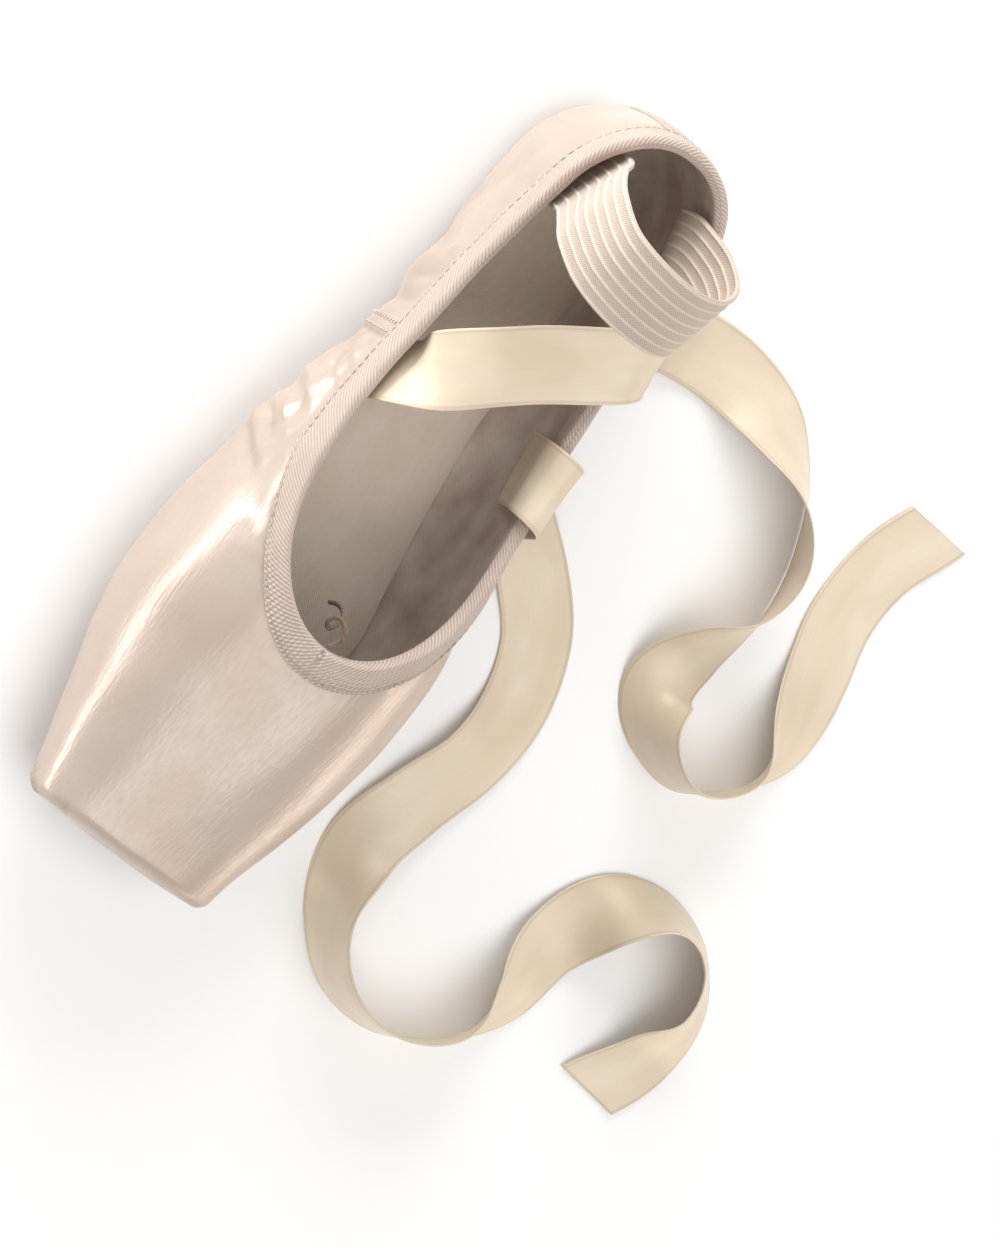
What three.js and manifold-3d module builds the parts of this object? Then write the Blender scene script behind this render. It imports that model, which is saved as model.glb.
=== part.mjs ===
// Pointe shoe, standing empty on its sole. Millimetres, +Z up, toe towards +X.
// The last is straight, the same on both sides, so the shoe fits either foot.
// Every curved piece is worked out from one function, lastPoint, which gives a
// point of the last at a station along the foot, a height round the section
// and an offset out from the surface.

import * as THREE from 'three';
import { mergeVertices } from 'three/addons/utils/BufferGeometryUtils.js';
import Module from 'manifold-3d';

const wasm = await Module();
wasm.setup();

// Driving sizes

const shoeLength = 248;        // back of the heel to the platform
const heelRound = 30;          // length over which the heel closes, seen from above
const heelUnderRound = 14;     // length over which the heel closes underneath
const heelBulgeHeight = 22;    // height of the point that stands furthest back
const tipRound = 3.5;          // rounding round the platform
const lowerPower = 2.4;        // fullness of the section below its widest height
const upperPower = 2.3;        // fullness above it
const seatGap = 0.3;           // between pieces that touch

const soleThickness = 2.2;
const soleRear = 12;           // heel end of the outsole, from the back of the heel
const soleFront = 215;         // toe end of the outsole
const soleToeRound = 16;
const soleHeelRound = 13;
const seatMargin = 9;          // of the upper that is turned in under the insole
const insoleThickness = 1.6;
const insoleInset = 0.8;

const throatX = 172;           // front of the opening
const throatStart = 130;       // where the collar starts to turn across the instep
const bindingThickness = 0.9;
const bindingWidth = 8;
const stripWidth = 16;
const stripThickness = 0.8;
const ribbonWidth = 22;
const ribbonThickness = 0.8;
const elasticWidth = 25;
const elasticThickness = 1.2;
const cordThickness = 1.4;

// The strip stands proud of the heel, so the whole shoe is this much longer.
const midLength = (shoeLength - seatGap - stripThickness) / 2;

// Sections of the last, one row a station, x from the back of the heel.
// widestAt and bottom are heights, flat is half the flat bottom, top is the
// crown of the closed section, wall is the thickness of satin, canvas and lining.
const lastColumns = ['x', 'halfWidth', 'widestAt', 'bottom', 'flat', 'top', 'wall'];
const lastRows = [
  [0, 25.6, 22, 2.5, 12, 84, 1.8],
  [30, 26.2, 21, 2.5, 20, 82, 1.8],
  [46, 27.2, 20.5, 2.5, 20, 79, 1.8],
  [66, 28.8, 20, 3.9, 18.5, 74.5, 1.8],
  [90, 31.4, 19.5, 5.6, 18, 68, 1.8],
  [118, 36.6, 19, 4.6, 21.5, 61.5, 2.0],
  [146, 42.6, 18.5, 2.5, 27.5, 57, 2.4],
  [164, 45.0, 18.8, 2.5, 30.5, 55.3, 2.8],
  [182, 45.3, 19.5, 2.5, 30, 52.3, 3.0],
  [200, 43.0, 21, 3.6, 26.5, 48.6, 3.0],
  [220, 38.2, 23, 6.3, 19.5, 43.9, 3.0],
  [236, 33.6, 24.6, 8.9, 14.5, 40.2, 3.0],
  [248, 31.0, 25.6, 10.4, 12, 37.8, 3.0],
];

// Height of the collar along the side of the foot, before the throat.
const collarColumns = ['x', 'height'];
const collarRows = [
  [0, 53.5],
  [12, 51.2],
  [28, 46.2],
  [48, 41.4],
  [70, 38.8],
  [92, 38.8],
  [112, 41.2],
  [130, 44.9],
];

// Half width of the outsole before its ends are rounded.
const soleColumns = ['x', 'half'];
const soleRows = [
  [12, 18.0],
  [30, 18.6],
  [58, 17.0],
  [84, 15.6],
  [104, 17.4],
  [126, 21.4],
  [148, 26.2],
  [168, 27.8],
  [188, 26.6],
  [202, 23.8],
  [215, 20.5],
];

// Smooth curve through the rows of a table that never overshoots them.
function tableCurves(columns, rows) {
  const x = rows.map((row) => row[0]);
  const curves = {};
  for (let column = 1; column < columns.length; column += 1) {
    const y = rows.map((row) => row[column]);
    const slope = x.slice(1).map((end, i) => (y[i + 1] - y[i]) / (end - x[i]));
    const tangent = y.map((value, i) => {
      if (i === 0 || i === y.length - 1) {
        return slope[Math.min(i, slope.length - 1)];
      }
      const before = slope[i - 1];
      const after = slope[i];
      return before * after <= 0 ? 0 : 2 * before * after / (before + after);
    });
    curves[columns[column]] = (at) => {
      const inside = Math.min(Math.max(at, x[0]), x[x.length - 1]);
      let i = 0;
      while (i < x.length - 2 && inside > x[i + 1]) {
        i += 1;
      }
      const span = x[i + 1] - x[i];
      const t = (inside - x[i]) / span;
      const t2 = t * t;
      const t3 = t2 * t;
      return (2 * t3 - 3 * t2 + 1) * y[i] + (t3 - 2 * t2 + t) * span * tangent[i]
        + (3 * t2 - 2 * t3) * y[i + 1] + (t3 - t2) * span * tangent[i + 1];
    };
  }
  return curves;
}

const last = tableCurves(lastColumns, lastRows);
const collar = tableCurves(collarColumns, collarRows);
const sole = tableCurves(soleColumns, soleRows);

// The last

const roundEnd = (distance, radius) => {
  const t = Math.min(Math.max(distance / radius, 0), 1);
  return Math.sqrt(1 - (1 - t) * (1 - t));
};

// One section: the table's values closed to a round heel and eased at the tip.
function sectionAt(x, offset) {
  const close = roundEnd(x, heelRound);
  const closeUnder = roundEnd(x, heelUnderRound);
  const tip = tipRound * (1 - roundEnd(shoeLength - x, tipRound));
  const rise = heelBulgeHeight - last.bottom(x);
  const blend = Math.min(x / heelRound, 1);
  const widestAt = heelBulgeHeight * (1 - blend) + last.widestAt(x) * blend;
  return {
    half: Math.max(last.halfWidth(x) * close - tip + offset, 0),
    flat: Math.max(last.flat(x) * close - tip, 0),
    widestAt,
    top: widestAt + (last.top(x) - widestAt) * close - tip + offset,
    bottom: x < heelUnderRound
      ? heelBulgeHeight - rise * closeUnder - offset
      : last.bottom(x) + tip - offset,
  };
}

// Point of the last. round runs from 0, bottom middle, to 1, top middle; the
// first part is the flat bottom, then the lower and the upper quarter of the
// section. An offset moves the heel back and the platform forward as well.
const flatShare = 0.16;
const lowerShare = 0.5;

function lastPoint(x, round, side, offset) {
  const s = sectionAt(x, offset);
  const along = x + offset * (2 * x / shoeLength - 1);
  let y;
  let z;
  if (round <= flatShare) {
    y = s.flat * round / flatShare;
    z = s.bottom;
  } else if (round <= lowerShare) {
    const angle = (round - flatShare) / (lowerShare - flatShare) * Math.PI / 2;
    y = s.flat + (s.half - s.flat) * Math.sin(angle) ** (2 / lowerPower);
    z = s.widestAt - (s.widestAt - s.bottom) * Math.cos(angle) ** (2 / lowerPower);
  } else {
    const angle = (round - lowerShare) / (1 - lowerShare) * Math.PI / 2;
    y = s.half * Math.cos(angle) ** (2 / upperPower);
    z = s.widestAt + (s.top - s.widestAt) * Math.sin(angle) ** (2 / upperPower);
  }
  return new THREE.Vector3(along - midLength, side * y, z);
}

// The station whose section, moved by an offset, lies at x.
const stationOf = (x, offset) => (x + offset) / (1 + 2 * offset / shoeLength);

// Stations crowd towards the heel and the platform, where the form closes.
function lastStations() {
  const heelSteps = 8;
  const middleSteps = 23;
  const tipSteps = 3;
  const stations = [];
  for (let i = 1; i <= heelSteps; i += 1) {
    stations.push(heelRound * (1 - Math.cos(i / heelSteps * Math.PI / 2)));
  }
  const middle = shoeLength - tipRound - heelRound;
  for (let i = 1; i <= middleSteps; i += 1) {
    stations.push(heelRound + middle * i / middleSteps);
  }
  for (let i = 1; i <= tipSteps; i += 1) {
    stations.push(shoeLength - tipRound * (1 - Math.sin(i / tipSteps * Math.PI / 2)));
  }
  return stations;
}

// Steps round half a section, closer where it turns.
const roundSteps = [0, 0.16, 0.23, 0.3, 0.37, 0.44, 0.5, 0.56, 0.62, 0.68, 0.74, 0.8, 0.86, 0.93, 1];

// Closed body from rings of equal length, capped by a fan at each end. Columns
// from otherWay on are split along their other diagonal, so that the two skins
// of a thin tape stay parallel where it twists.
function ringSolid(rings, firstTip, lastTip, otherWay = Infinity) {
  const count = rings[0].length;
  const position = [];
  const index = [];
  rings.forEach((ring) => ring.forEach((p) => position.push(p.x, p.y, p.z)));
  for (let i = 0; i < rings.length - 1; i += 1) {
    for (let j = 0; j < count; j += 1) {
      const k = (j + 1) % count;
      const a = i * count + j;
      const b = i * count + k;
      const c = a + count;
      const d = b + count;
      index.push(...(j < otherWay ? [a, b, d, a, d, c] : [a, b, c, b, d, c]));
    }
  }
  [[rings[0], firstTip, 0], [rings[rings.length - 1], lastTip, (rings.length - 1) * count]]
    .forEach(([ring, tip, start], end) => {
      const centre = tip || ring.reduce((sum, p) => sum.add(p), new THREE.Vector3())
        .divideScalar(count);
      const hub = position.length / 3;
      position.push(centre.x, centre.y, centre.z);
      for (let j = 0; j < count; j += 1) {
        const a = start + j;
        const b = start + (j + 1) % count;
        index.push(...(end === 0 ? [hub, b, a] : [hub, a, b]));
      }
    });
  const geometry = new THREE.BufferGeometry();
  geometry.setAttribute('position', new THREE.Float32BufferAttribute(position, 3));
  geometry.setIndex(index);
  return geometry;
}

// Turns a geometry into a solid, with its faces out.
function toSolid(source) {
  const geometry = source.clone();
  geometry.deleteAttribute('normal');
  geometry.deleteAttribute('uv');
  const merged = mergeVertices(geometry, 1e-4);
  const points = merged.getAttribute('position');
  const triangles = merged.getIndex().array;
  const kept = [];
  let volume = 0;
  for (let i = 0; i < triangles.length; i += 3) {
    const [a, b, c] = [triangles[i], triangles[i + 1], triangles[i + 2]];
    if (a !== b && b !== c && a !== c) {
      kept.push(a, b, c);
      const [p, q, r] = [a, b, c].map((v) => new THREE.Vector3().fromBufferAttribute(points, v));
      volume += p.dot(q.cross(r));
    }
  }
  if (volume < 0) {
    for (let i = 0; i < kept.length; i += 3) {
      [kept[i + 1], kept[i + 2]] = [kept[i + 2], kept[i + 1]];
    }
  }
  return new wasm.Manifold(new wasm.Mesh({
    numProp: 3,
    vertProperties: new Float32Array(points.array),
    triVerts: new Uint32Array(kept),
  }));
}

function toGeometry(solid) {
  const mesh = solid.getMesh();
  const geometry = new THREE.BufferGeometry();
  geometry.setAttribute('position', new THREE.Float32BufferAttribute(mesh.vertProperties, 3));
  geometry.setIndex(Array.from(mesh.triVerts));
  return geometry;
}

// The whole closed form of the last, moved out or in by an offset that may
// change along the foot.
function lastForm(offsetAt) {
  const rings = lastStations().map((x) => {
    const offset = offsetAt(x);
    const right = roundSteps.map((round) => lastPoint(x, round, -1, offset));
    const left = roundSteps.slice(1, -1).map((round) => lastPoint(x, round, 1, offset));
    return right.concat(left.reverse());
  });
  const back = new THREE.Vector3(-midLength - offsetAt(0), 0, heelBulgeHeight);
  return toSolid(ringSolid(rings, back, null));
}

// The collar

// Height of the outer surface at a distance from the middle.
function surfaceHeight(x, y) {
  const s = sectionAt(x, 0);
  const share = Math.min(Math.abs(y) / s.half, 1);
  return s.widestAt + (s.top - s.widestAt) * (1 - share ** upperPower) ** (1 / upperPower);
}

function surfaceHalfWidth(x, z) {
  const s = sectionAt(x, 0);
  const share = Math.min(Math.max((z - s.widestAt) / (s.top - s.widestAt), 0), 1);
  return s.half * (1 - share ** upperPower) ** (1 / upperPower);
}

// Edge of the opening at a station, moved down the outside by drop. From the
// throat's start on it is half an ellipse seen from above.
const sideSlope = 0.9;         // rise of the wall for each unit along it, at the sides
const narrowest = 0.02;        // half width of the cut at the middle of the throat
function collarEdge(x, drop) {
  const end = throatX + drop;
  if (x <= throatStart) {
    const z = collar.height(x) - drop * sideSlope;
    return { y: surfaceHalfWidth(x, z), z };
  }
  const startHalf = surfaceHalfWidth(throatStart, collar.height(throatStart) - drop * sideSlope);
  const t = Math.min((x - throatStart) / (end - throatStart), 1);
  const y = Math.max(startHalf * Math.sqrt(1 - t * t), narrowest);
  return { y, z: surfaceHeight(x, y) };
}

// Lean of the wall's edge from level at the sides to upright at the throat.
const leanStart = 96;
const leanLength = 34;
function edgeDirection(x, drop) {
  const { y } = collarEdge(x, drop);
  const s = sectionAt(x, 0);
  const height = s.top - s.widestAt;
  const across = (y / s.half) ** (upperPower - 1) / s.half;
  const share = Math.max(1 - (y / s.half) ** upperPower, 0) ** (1 / upperPower);
  const up = share ** (upperPower - 1) / height;
  const lean = Math.atan2(up, across) * Math.min(Math.max((x - leanStart) / leanLength, 0), 1);
  return { y: Math.cos(lean), z: Math.sin(lean) };
}

// Everything above the collar's edge, as a solid that cuts the form open.
function collarCutter(drop) {
  const reach = 7;
  const wide = 90;
  const high = 140;
  const behind = -20;
  const sideStep = 8;
  const heelHalf = 12;         // the cut stays this wide where the heel closes
  const stations = [behind];
  for (let x = 2; x < throatStart; x += sideStep) {
    stations.push(x);
  }
  const throatSteps = 12;
  for (let i = 0; i <= throatSteps; i += 1) {
    const t = Math.sin(i / throatSteps * Math.PI / 2);
    stations.push(throatStart + (throatX + drop - throatStart) * t);
  }
  const rings = stations.map((x) => {
    const edge = collarEdge(Math.max(x, 0), drop);
    const lean = edgeDirection(Math.max(x, 1), drop);
    const half = x < heelRound ? Math.max(edge.y, heelHalf) : edge.y;
    const inner = { y: Math.max(half - reach * lean.y, narrowest), z: edge.z - reach * lean.z };
    const outer = { y: half + reach * lean.y, z: edge.z + reach * lean.z };
    const side = [[inner.y, inner.z], [outer.y, outer.z], [wide, outer.z], [wide, high]];
    const left = side.map(([y, z]) => new THREE.Vector3(x - midLength, y, z));
    const right = side.map(([y, z]) => new THREE.Vector3(x - midLength, -y, z));
    return left.concat(right.reverse());
  });
  return toSolid(ringSolid(rings, null, null));
}

// A plain block, for cutting a form to a region.
function block(lowest, highest) {
  const size = highest.map((value, i) => value - lowest[i]);
  const geometry = new THREE.BoxGeometry(size[0], size[1], size[2]);
  geometry.translate(...lowest.map((value, i) => value + size[i] / 2));
  return toSolid(geometry);
}

// Outline of the outsole from above, drawn in by an inset, as half widths.
function soleHalf(x, inset) {
  const front = roundEnd(soleFront - inset - x, soleToeRound);
  const rear = roundEnd(x - soleRear - inset, soleHeelRound);
  return Math.max(sole.half(x) - inset, 0) * front * rear;
}

function soleStations(inset) {
  const steps = 44;
  const stations = [];
  for (let i = 1; i < steps; i += 1) {
    const t = (1 - Math.cos(i / steps * Math.PI)) / 2;
    const eased = 0.55 * t + 0.45 * i / steps;
    stations.push(soleRear + inset + (soleFront - soleRear - 2 * inset) * eased);
  }
  return stations;
}

// The pieces

function upperSolid() {
  const outer = lastForm(() => 0);
  const inner = lastForm((x) => -last.wall(x));
  const low = -5;
  const high = 12;
  const rings = soleStations(seatMargin).map((x) => {
    const half = soleHalf(x, seatMargin) + seatGap;
    return [[-half, low], [half, low], [half, high], [-half, high]]
      .map(([y, z]) => new THREE.Vector3(x - midLength, y, z));
  });
  const underneath = toSolid(ringSolid(rings, null, null));
  return outer.subtract(inner).subtract(collarCutter(0)).subtract(underneath);
}

// A slab that follows the bottom of the last between two heights above it.
function bottomSlab(stations, halfAt, low, high) {
  const rings = stations.map((x) => {
    const half = Math.max(halfAt(x), 0.5);
    const ground = last.bottom(x);
    return [[-half, ground + low], [half, ground + low], [half, ground + high], [-half, ground + high]]
      .map(([y, z]) => new THREE.Vector3(x - midLength, y, z));
  });
  return ringSolid(rings, null, null);
}

function outsoleGeometry() {
  const top = -seatGap;
  return bottomSlab(soleStations(0.2), (x) => soleHalf(x, 0), top - soleThickness, top);
}

function insoleGeometry() {
  const rear = 13;
  const front = 238;
  const rearRound = 16;
  const frontRound = 14;
  const steps = 34;
  const stations = [];
  for (let i = 1; i < steps; i += 1) {
    const t = (1 - Math.cos(i / steps * Math.PI)) / 2;
    stations.push(rear + (front - rear) * (0.5 * t + 0.5 * i / steps));
  }
  const halfAt = (x) => (last.flat(x) - insoleInset)
    * roundEnd(x - rear, rearRound) * roundEnd(front - x, frontRound);
  const rings = stations.map((x) => {
    const half = Math.max(halfAt(x), 0.5);
    const wall = last.wall(x);
    const low = sectionAt(stationOf(x, -wall), -wall).bottom + seatGap;
    return [[-half, low], [half, low], [half, low + insoleThickness], [-half, low + insoleThickness]]
      .map(([y, z]) => new THREE.Vector3(x - midLength, y, z));
  });
  return ringSolid(rings, null, null);
}

// Folded tape: two skins over the edge, cut to a band and hollowed for the wall.
function bindingSolid() {
  const skin = seatGap + bindingThickness;
  const outside = lastForm(() => skin).subtract(lastForm((x) => -last.wall(x) - skin));
  const wall = lastForm(() => seatGap).subtract(lastForm((x) => -last.wall(x) - seatGap))
    .subtract(collarCutter(-seatGap));
  const band = collarCutter(bindingWidth).subtract(collarCutter(-skin));
  return outside.intersect(band).subtract(wall);
}

// Strip up the heel, between two larger forms, from the binding to the outsole.
function backStripSolid() {
  const skin = lastForm(() => seatGap + stripThickness).subtract(lastForm(() => seatGap));
  const back = -midLength;
  const top = collar.height(0) - bindingWidth - seatGap;
  const region = block([back - 5, -stripWidth / 2, -1], [back + soleRear - seatGap, stripWidth / 2, top]);
  return skin.intersect(region);
}

// Flat tape carried along a route. Each row gives a point of its middle, x
// from the back of the heel, and the way that its face looks.
const edgeShare = 0.35;        // half thickness at the edges, as a share of the thickness
const profileHalf = 3;         // points on each skin of the tape's section
const elasticSteps = 36;
const ribbonSteps = 76;
const routeColumns = ['x', 'y', 'z', 'faceX', 'faceY', 'faceZ'];
function tapeGeometry(rows, width, thickness, steps) {
  const at = Object.fromEntries(routeColumns.map((name, i) => [name, i]));
  const points = rows.map((r) => new THREE.Vector3(r[at.x] - midLength, r[at.y], r[at.z]));
  const faces = rows
    .map((r) => new THREE.Vector3(r[at.faceX], r[at.faceY], r[at.faceZ]).normalize());
  const route = new THREE.CatmullRomCurve3(points, false, 'centripetal');
  const looks = new THREE.CatmullRomCurve3(faces, false, 'centripetal');
  const rings = [];
  for (let i = 0; i <= steps; i += 1) {
    const t = i / steps;
    const middle = route.getPoint(t);
    const forward = route.getTangent(t);
    const across = new THREE.Vector3().crossVectors(forward, looks.getPoint(t)).normalize();
    const out = new THREE.Vector3().crossVectors(across, forward).normalize();
    const edge = thickness * edgeShare;
    const profile = [
      [-width / 2, -edge], [0, -thickness / 2], [width / 2, -edge],
      [width / 2, edge], [0, thickness / 2], [-width / 2, edge],
    ];
    const ring = profile.map(([w, h]) => middle.clone()
      .addScaledVector(across, w).addScaledVector(out, h));
    const sunk = Math.min(...ring.map((p) => p.z), 0);
    rings.push(ring.map((p) => new THREE.Vector3(p.x, p.y, p.z - sunk)));
  }
  return ringSolid(rings, null, null, profileHalf);
}

// The elastic stands as an arch, as it lies over the ankle when worn.
const elasticRows = [
  [27, -18.4, 33.0, -0.26, -1, 0.02],
  [27, -17.5, 41.0, -0.28, -1, 0.02],
  [28, -17.9, 50.0, -0.27, -1, 0],
  [31.5, -21.3, 60.0, -0.05, -1, 0.1],
  [37, -22.0, 70.0, 0.16, -0.94, 0.3],
  [43.5, -16.0, 79.5, 0.42, -0.6, 0.68],
  [46.5, 0, 84.0, 0.54, 0, 0.84],
];

// A route's rows and then the same ones on the other side, back to its start.
function mirrored(rows) {
  const sides = ['y', 'faceY'].map((name) => routeColumns.indexOf(name));
  const other = rows.slice(0, -1).reverse()
    .map((row) => row.map((value, i) => (sides.includes(i) ? -value : value)));
  return rows.concat(other);
}

// The ribbons lie as they fall from the collar, as long as when they are tied.
const ribbonRightRows = [
  [102, -29.9, 18, -0.16, -1, 0],
  [101, -28.8, 25, -0.16, -1, 0],
  [100, -26.6, 31.5, -0.2, -1, 0.1],
  [98, -24.2, 38.5, -0.26, -1, 0.2],
  [93.5, -20.2, 44.4, -0.16, -0.5, 0.86],
  [84, -9, 46.0, 0, -0.05, 1],
  [74, 4, 44.6, 0, 0.02, 1],
  [65, 17, 44.4, 0, 0.1, 1],
  [57.5, 28, 44.8, -0.05, 0.4, 0.92],
  [53.5, 34.2, 40.8, -0.1, 0.9, 0.5],
  [50.5, 36.6, 31, -0.1, 1, 0.12],
  [47, 39.0, 20, -0.1, 1, 0.25],
  [43, 45.0, 9, -0.1, 0.8, 0.6],
  [40, 56, 2.8, 0, 0.2, 1],
  [38.5, 74, 1.2, -0.05, 0, 1],
  [42, 93, 5.6, -0.42, 0.1, 0.9],
  [52, 111, 10.2, -0.75, 0.45, 0.42],
  [69, 123, 11.2, -0.3, 0.92, 0.2],
  [88, 125, 10.4, 0.2, 0.9, 0.4],
  [105, 118, 6.0, 0.2, 0.4, 0.9],
  [121, 114, 6.0, 0.3, -0.35, 0.9],
  [135, 122, 10.6, 0.75, -0.55, 0.3],
  [139, 138, 11.2, 0.98, 0.02, 0.2],
  [129, 152, 10.6, 0.62, 0.72, 0.3],
  [111, 158, 6.0, 0.05, 0.45, 0.9],
  [91, 155, 1.4, 0, 0.05, 1],
  [72, 150, 1.0, 0, 0, 1],
  [53, 151, 1.0, 0, 0, 1],
  [35, 158, 1.0, 0, 0, 1],
];

const ribbonLeftRows = [
  [98, 29.7, 18, 0.16, -1, 0],
  [98, 29.1, 25, 0.16, -1, 0],
  [98.2, 27.2, 31.5, 0.16, -1, 0.1],
  [98.5, 25.4, 38.0, 0.12, -1, 0.1],
  [98.8, 26.2, 43.0, 0.06, -0.8, 0.5],
  [99.2, 29.6, 45.8, 0, 0, 1],
  [99.8, 33.4, 44.8, 0, 0.7, 0.7],
  [100.4, 35.8, 40.6, -0.1, 1, 0.4],
  [101.2, 37.6, 33, -0.12, 1, 0.1],
  [102.5, 39.4, 24, -0.12, 1, 0.15],
  [105, 43.0, 13, -0.1, 0.85, 0.45],
  [110, 51, 5.0, 0, 0.35, 0.9],
  [118, 63, 1.4, 0, 0.05, 1],
  [131, 76, 1.0, 0, 0, 1],
  [149, 83, 1.2, 0, 0.02, 1],
  [169, 82, 3.0, 0, 0.1, 1],
  [189, 75, 3.6, 0.05, -0.1, 1],
  [209, 69, 6.6, 0.15, -0.5, 0.85],
  [229, 73, 10.6, 0.48, -0.82, 0.3],
  [243, 88, 11.2, 0.9, -0.4, 0.2],
  [245, 108, 11.2, 0.98, 0.12, 0.2],
  [235, 126, 10.6, 0.7, 0.65, 0.3],
  [216, 136, 6.2, 0.1, 0.5, 0.86],
  [196, 138, 3.0, -0.05, 0.02, 1],
  [178, 145, 7.6, -0.4, -0.45, 0.8],
  [169, 160, 10.8, -0.9, -0.25, 0.3],
  [174, 177, 10.2, -0.75, 0.55, 0.4],
  [189, 187, 8.0, -0.15, 0.75, 0.65],
  [207, 185, 3.4, 0.05, 0.25, 0.96],
  [224, 177, 1.0, 0, 0, 1],
];

// Drawstring: out of the binding at the throat, one small loop, and the end
// hanging inside.
const drawstringRows = [
  [169.6, 0.8, 52.6],
  [165.5, 2.4, 53.4],
  [162.6, 1.2, 53.2],
  [161.6, -1.6, 51.8],
  [163.8, -2.6, 50.2],
  [165.4, -0.6, 49.0],
  [162.8, 1.6, 47.4],
  [159.6, 2.6, 43.6],
  [158.6, 2.0, 39.4],
  [159.4, 1.2, 35.4],
];

function drawstringGeometry() {
  const points = drawstringRows.map(([x, y, z]) => new THREE.Vector3(x - midLength, y, z));
  const route = new THREE.CatmullRomCurve3(points, false, 'centripetal');
  const section = new THREE.Shape();
  section.absarc(0, 0, cordThickness / 2, 0, Math.PI * 2, false);
  return new THREE.ExtrudeGeometry(section, {
    steps: 28,
    curveSegments: 4,
    bevelEnabled: false,
    extrudePath: route,
  });
}

// Materials

const satin = new THREE.MeshStandardMaterial({ color: 0xe3cfc2, roughness: 0.32, metalness: 0 });
const satinStrip = new THREE.MeshStandardMaterial({ color: 0xdcc6b8, roughness: 0.35, metalness: 0 });
const twill = new THREE.MeshStandardMaterial({ color: 0xd7c4b8, roughness: 0.85, metalness: 0 });
const ribbonSatin = new THREE.MeshStandardMaterial({ color: 0xe2d3bd, roughness: 0.4, metalness: 0 });
const netElastic = new THREE.MeshStandardMaterial({ color: 0xdccbbf, roughness: 0.8, metalness: 0 });
const soleLeather = new THREE.MeshStandardMaterial({ color: 0x8a6a4c, roughness: 0.6, metalness: 0 });
const sock = new THREE.MeshStandardMaterial({ color: 0xcbb8a6, roughness: 0.9, metalness: 0 });
const cordCotton = new THREE.MeshStandardMaterial({ color: 0x8c7a70, roughness: 0.9, metalness: 0 });

const shoe = new THREE.Group();

function addPiece(name, geometry, material) {
  const mesh = new THREE.Mesh(geometry, material);
  mesh.name = name;
  shoe.add(mesh);
}

addPiece('upper', toGeometry(upperSolid()), satin);
addPiece('outsole', toGeometry(toSolid(outsoleGeometry())), soleLeather);
addPiece('insole', toGeometry(toSolid(insoleGeometry())), sock);
addPiece('collar_binding', toGeometry(bindingSolid()), twill);
addPiece('back_strip', toGeometry(backStripSolid()), satinStrip);
addPiece('elastic', toGeometry(toSolid(tapeGeometry(mirrored(elasticRows), elasticWidth,
  elasticThickness, elasticSteps))), netElastic);
addPiece('ribbon_right', toGeometry(toSolid(tapeGeometry(ribbonRightRows, ribbonWidth,
  ribbonThickness, ribbonSteps))), ribbonSatin);
addPiece('ribbon_left', toGeometry(toSolid(tapeGeometry(ribbonLeftRows, ribbonWidth,
  ribbonThickness, ribbonSteps))), ribbonSatin);
addPiece('drawstring', drawstringGeometry(), cordCotton);

export default shoe;
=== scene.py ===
import math

import bmesh
import bpy
import numpy as np
from mathutils import Matrix, Vector


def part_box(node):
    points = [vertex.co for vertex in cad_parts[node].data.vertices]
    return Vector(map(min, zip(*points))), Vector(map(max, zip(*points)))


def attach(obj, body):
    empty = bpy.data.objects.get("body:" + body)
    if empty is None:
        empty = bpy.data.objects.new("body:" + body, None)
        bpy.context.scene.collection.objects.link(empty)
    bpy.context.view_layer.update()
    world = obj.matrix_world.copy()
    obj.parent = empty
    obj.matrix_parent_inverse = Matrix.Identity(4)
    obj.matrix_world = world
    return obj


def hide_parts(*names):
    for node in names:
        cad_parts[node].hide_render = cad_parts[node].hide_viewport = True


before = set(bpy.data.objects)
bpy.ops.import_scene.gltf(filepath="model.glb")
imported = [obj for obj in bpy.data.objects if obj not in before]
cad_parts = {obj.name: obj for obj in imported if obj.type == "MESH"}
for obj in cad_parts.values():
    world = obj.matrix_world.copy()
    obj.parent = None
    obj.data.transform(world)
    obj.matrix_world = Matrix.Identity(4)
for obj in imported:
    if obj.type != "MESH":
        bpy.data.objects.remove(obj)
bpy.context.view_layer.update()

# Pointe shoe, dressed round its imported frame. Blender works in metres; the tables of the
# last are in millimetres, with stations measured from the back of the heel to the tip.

mm = 0.001
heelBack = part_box("upper")[0].x / mm

# The last

shoe = {
    "length": 248.0,
    "heelRound": 30.0,         # length over which the heel closes, seen from above
    "heelUnderRound": 14.0,    # length over which it closes underneath
    "heelBulge": 22.0,         # height of the point that stands furthest back
    "tipRound": 3.5,
    "lowerPower": 2.4,         # fullness of the section below its widest height
    "upperPower": 2.3,
    "flatShare": 0.16,         # share of a half section that is the flat bottom
    "lowerShare": 0.5,
    "throatStart": 130.0,      # where the collar turns across the instep
    "throatEnd": 172.0,
    "sideSlope": 0.9,          # height lost for each millimetre down the side
    "seatMargin": 9.0,         # of the upper that is turned in under the insole
    "seatGap": 0.3,
    "soleRear": 12.0,          # the outsole's ends, and the lengths over which they round
    "soleFront": 215.0,
    "soleHeelRound": 13.0,
    "soleToeRound": 16.0,
}

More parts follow.
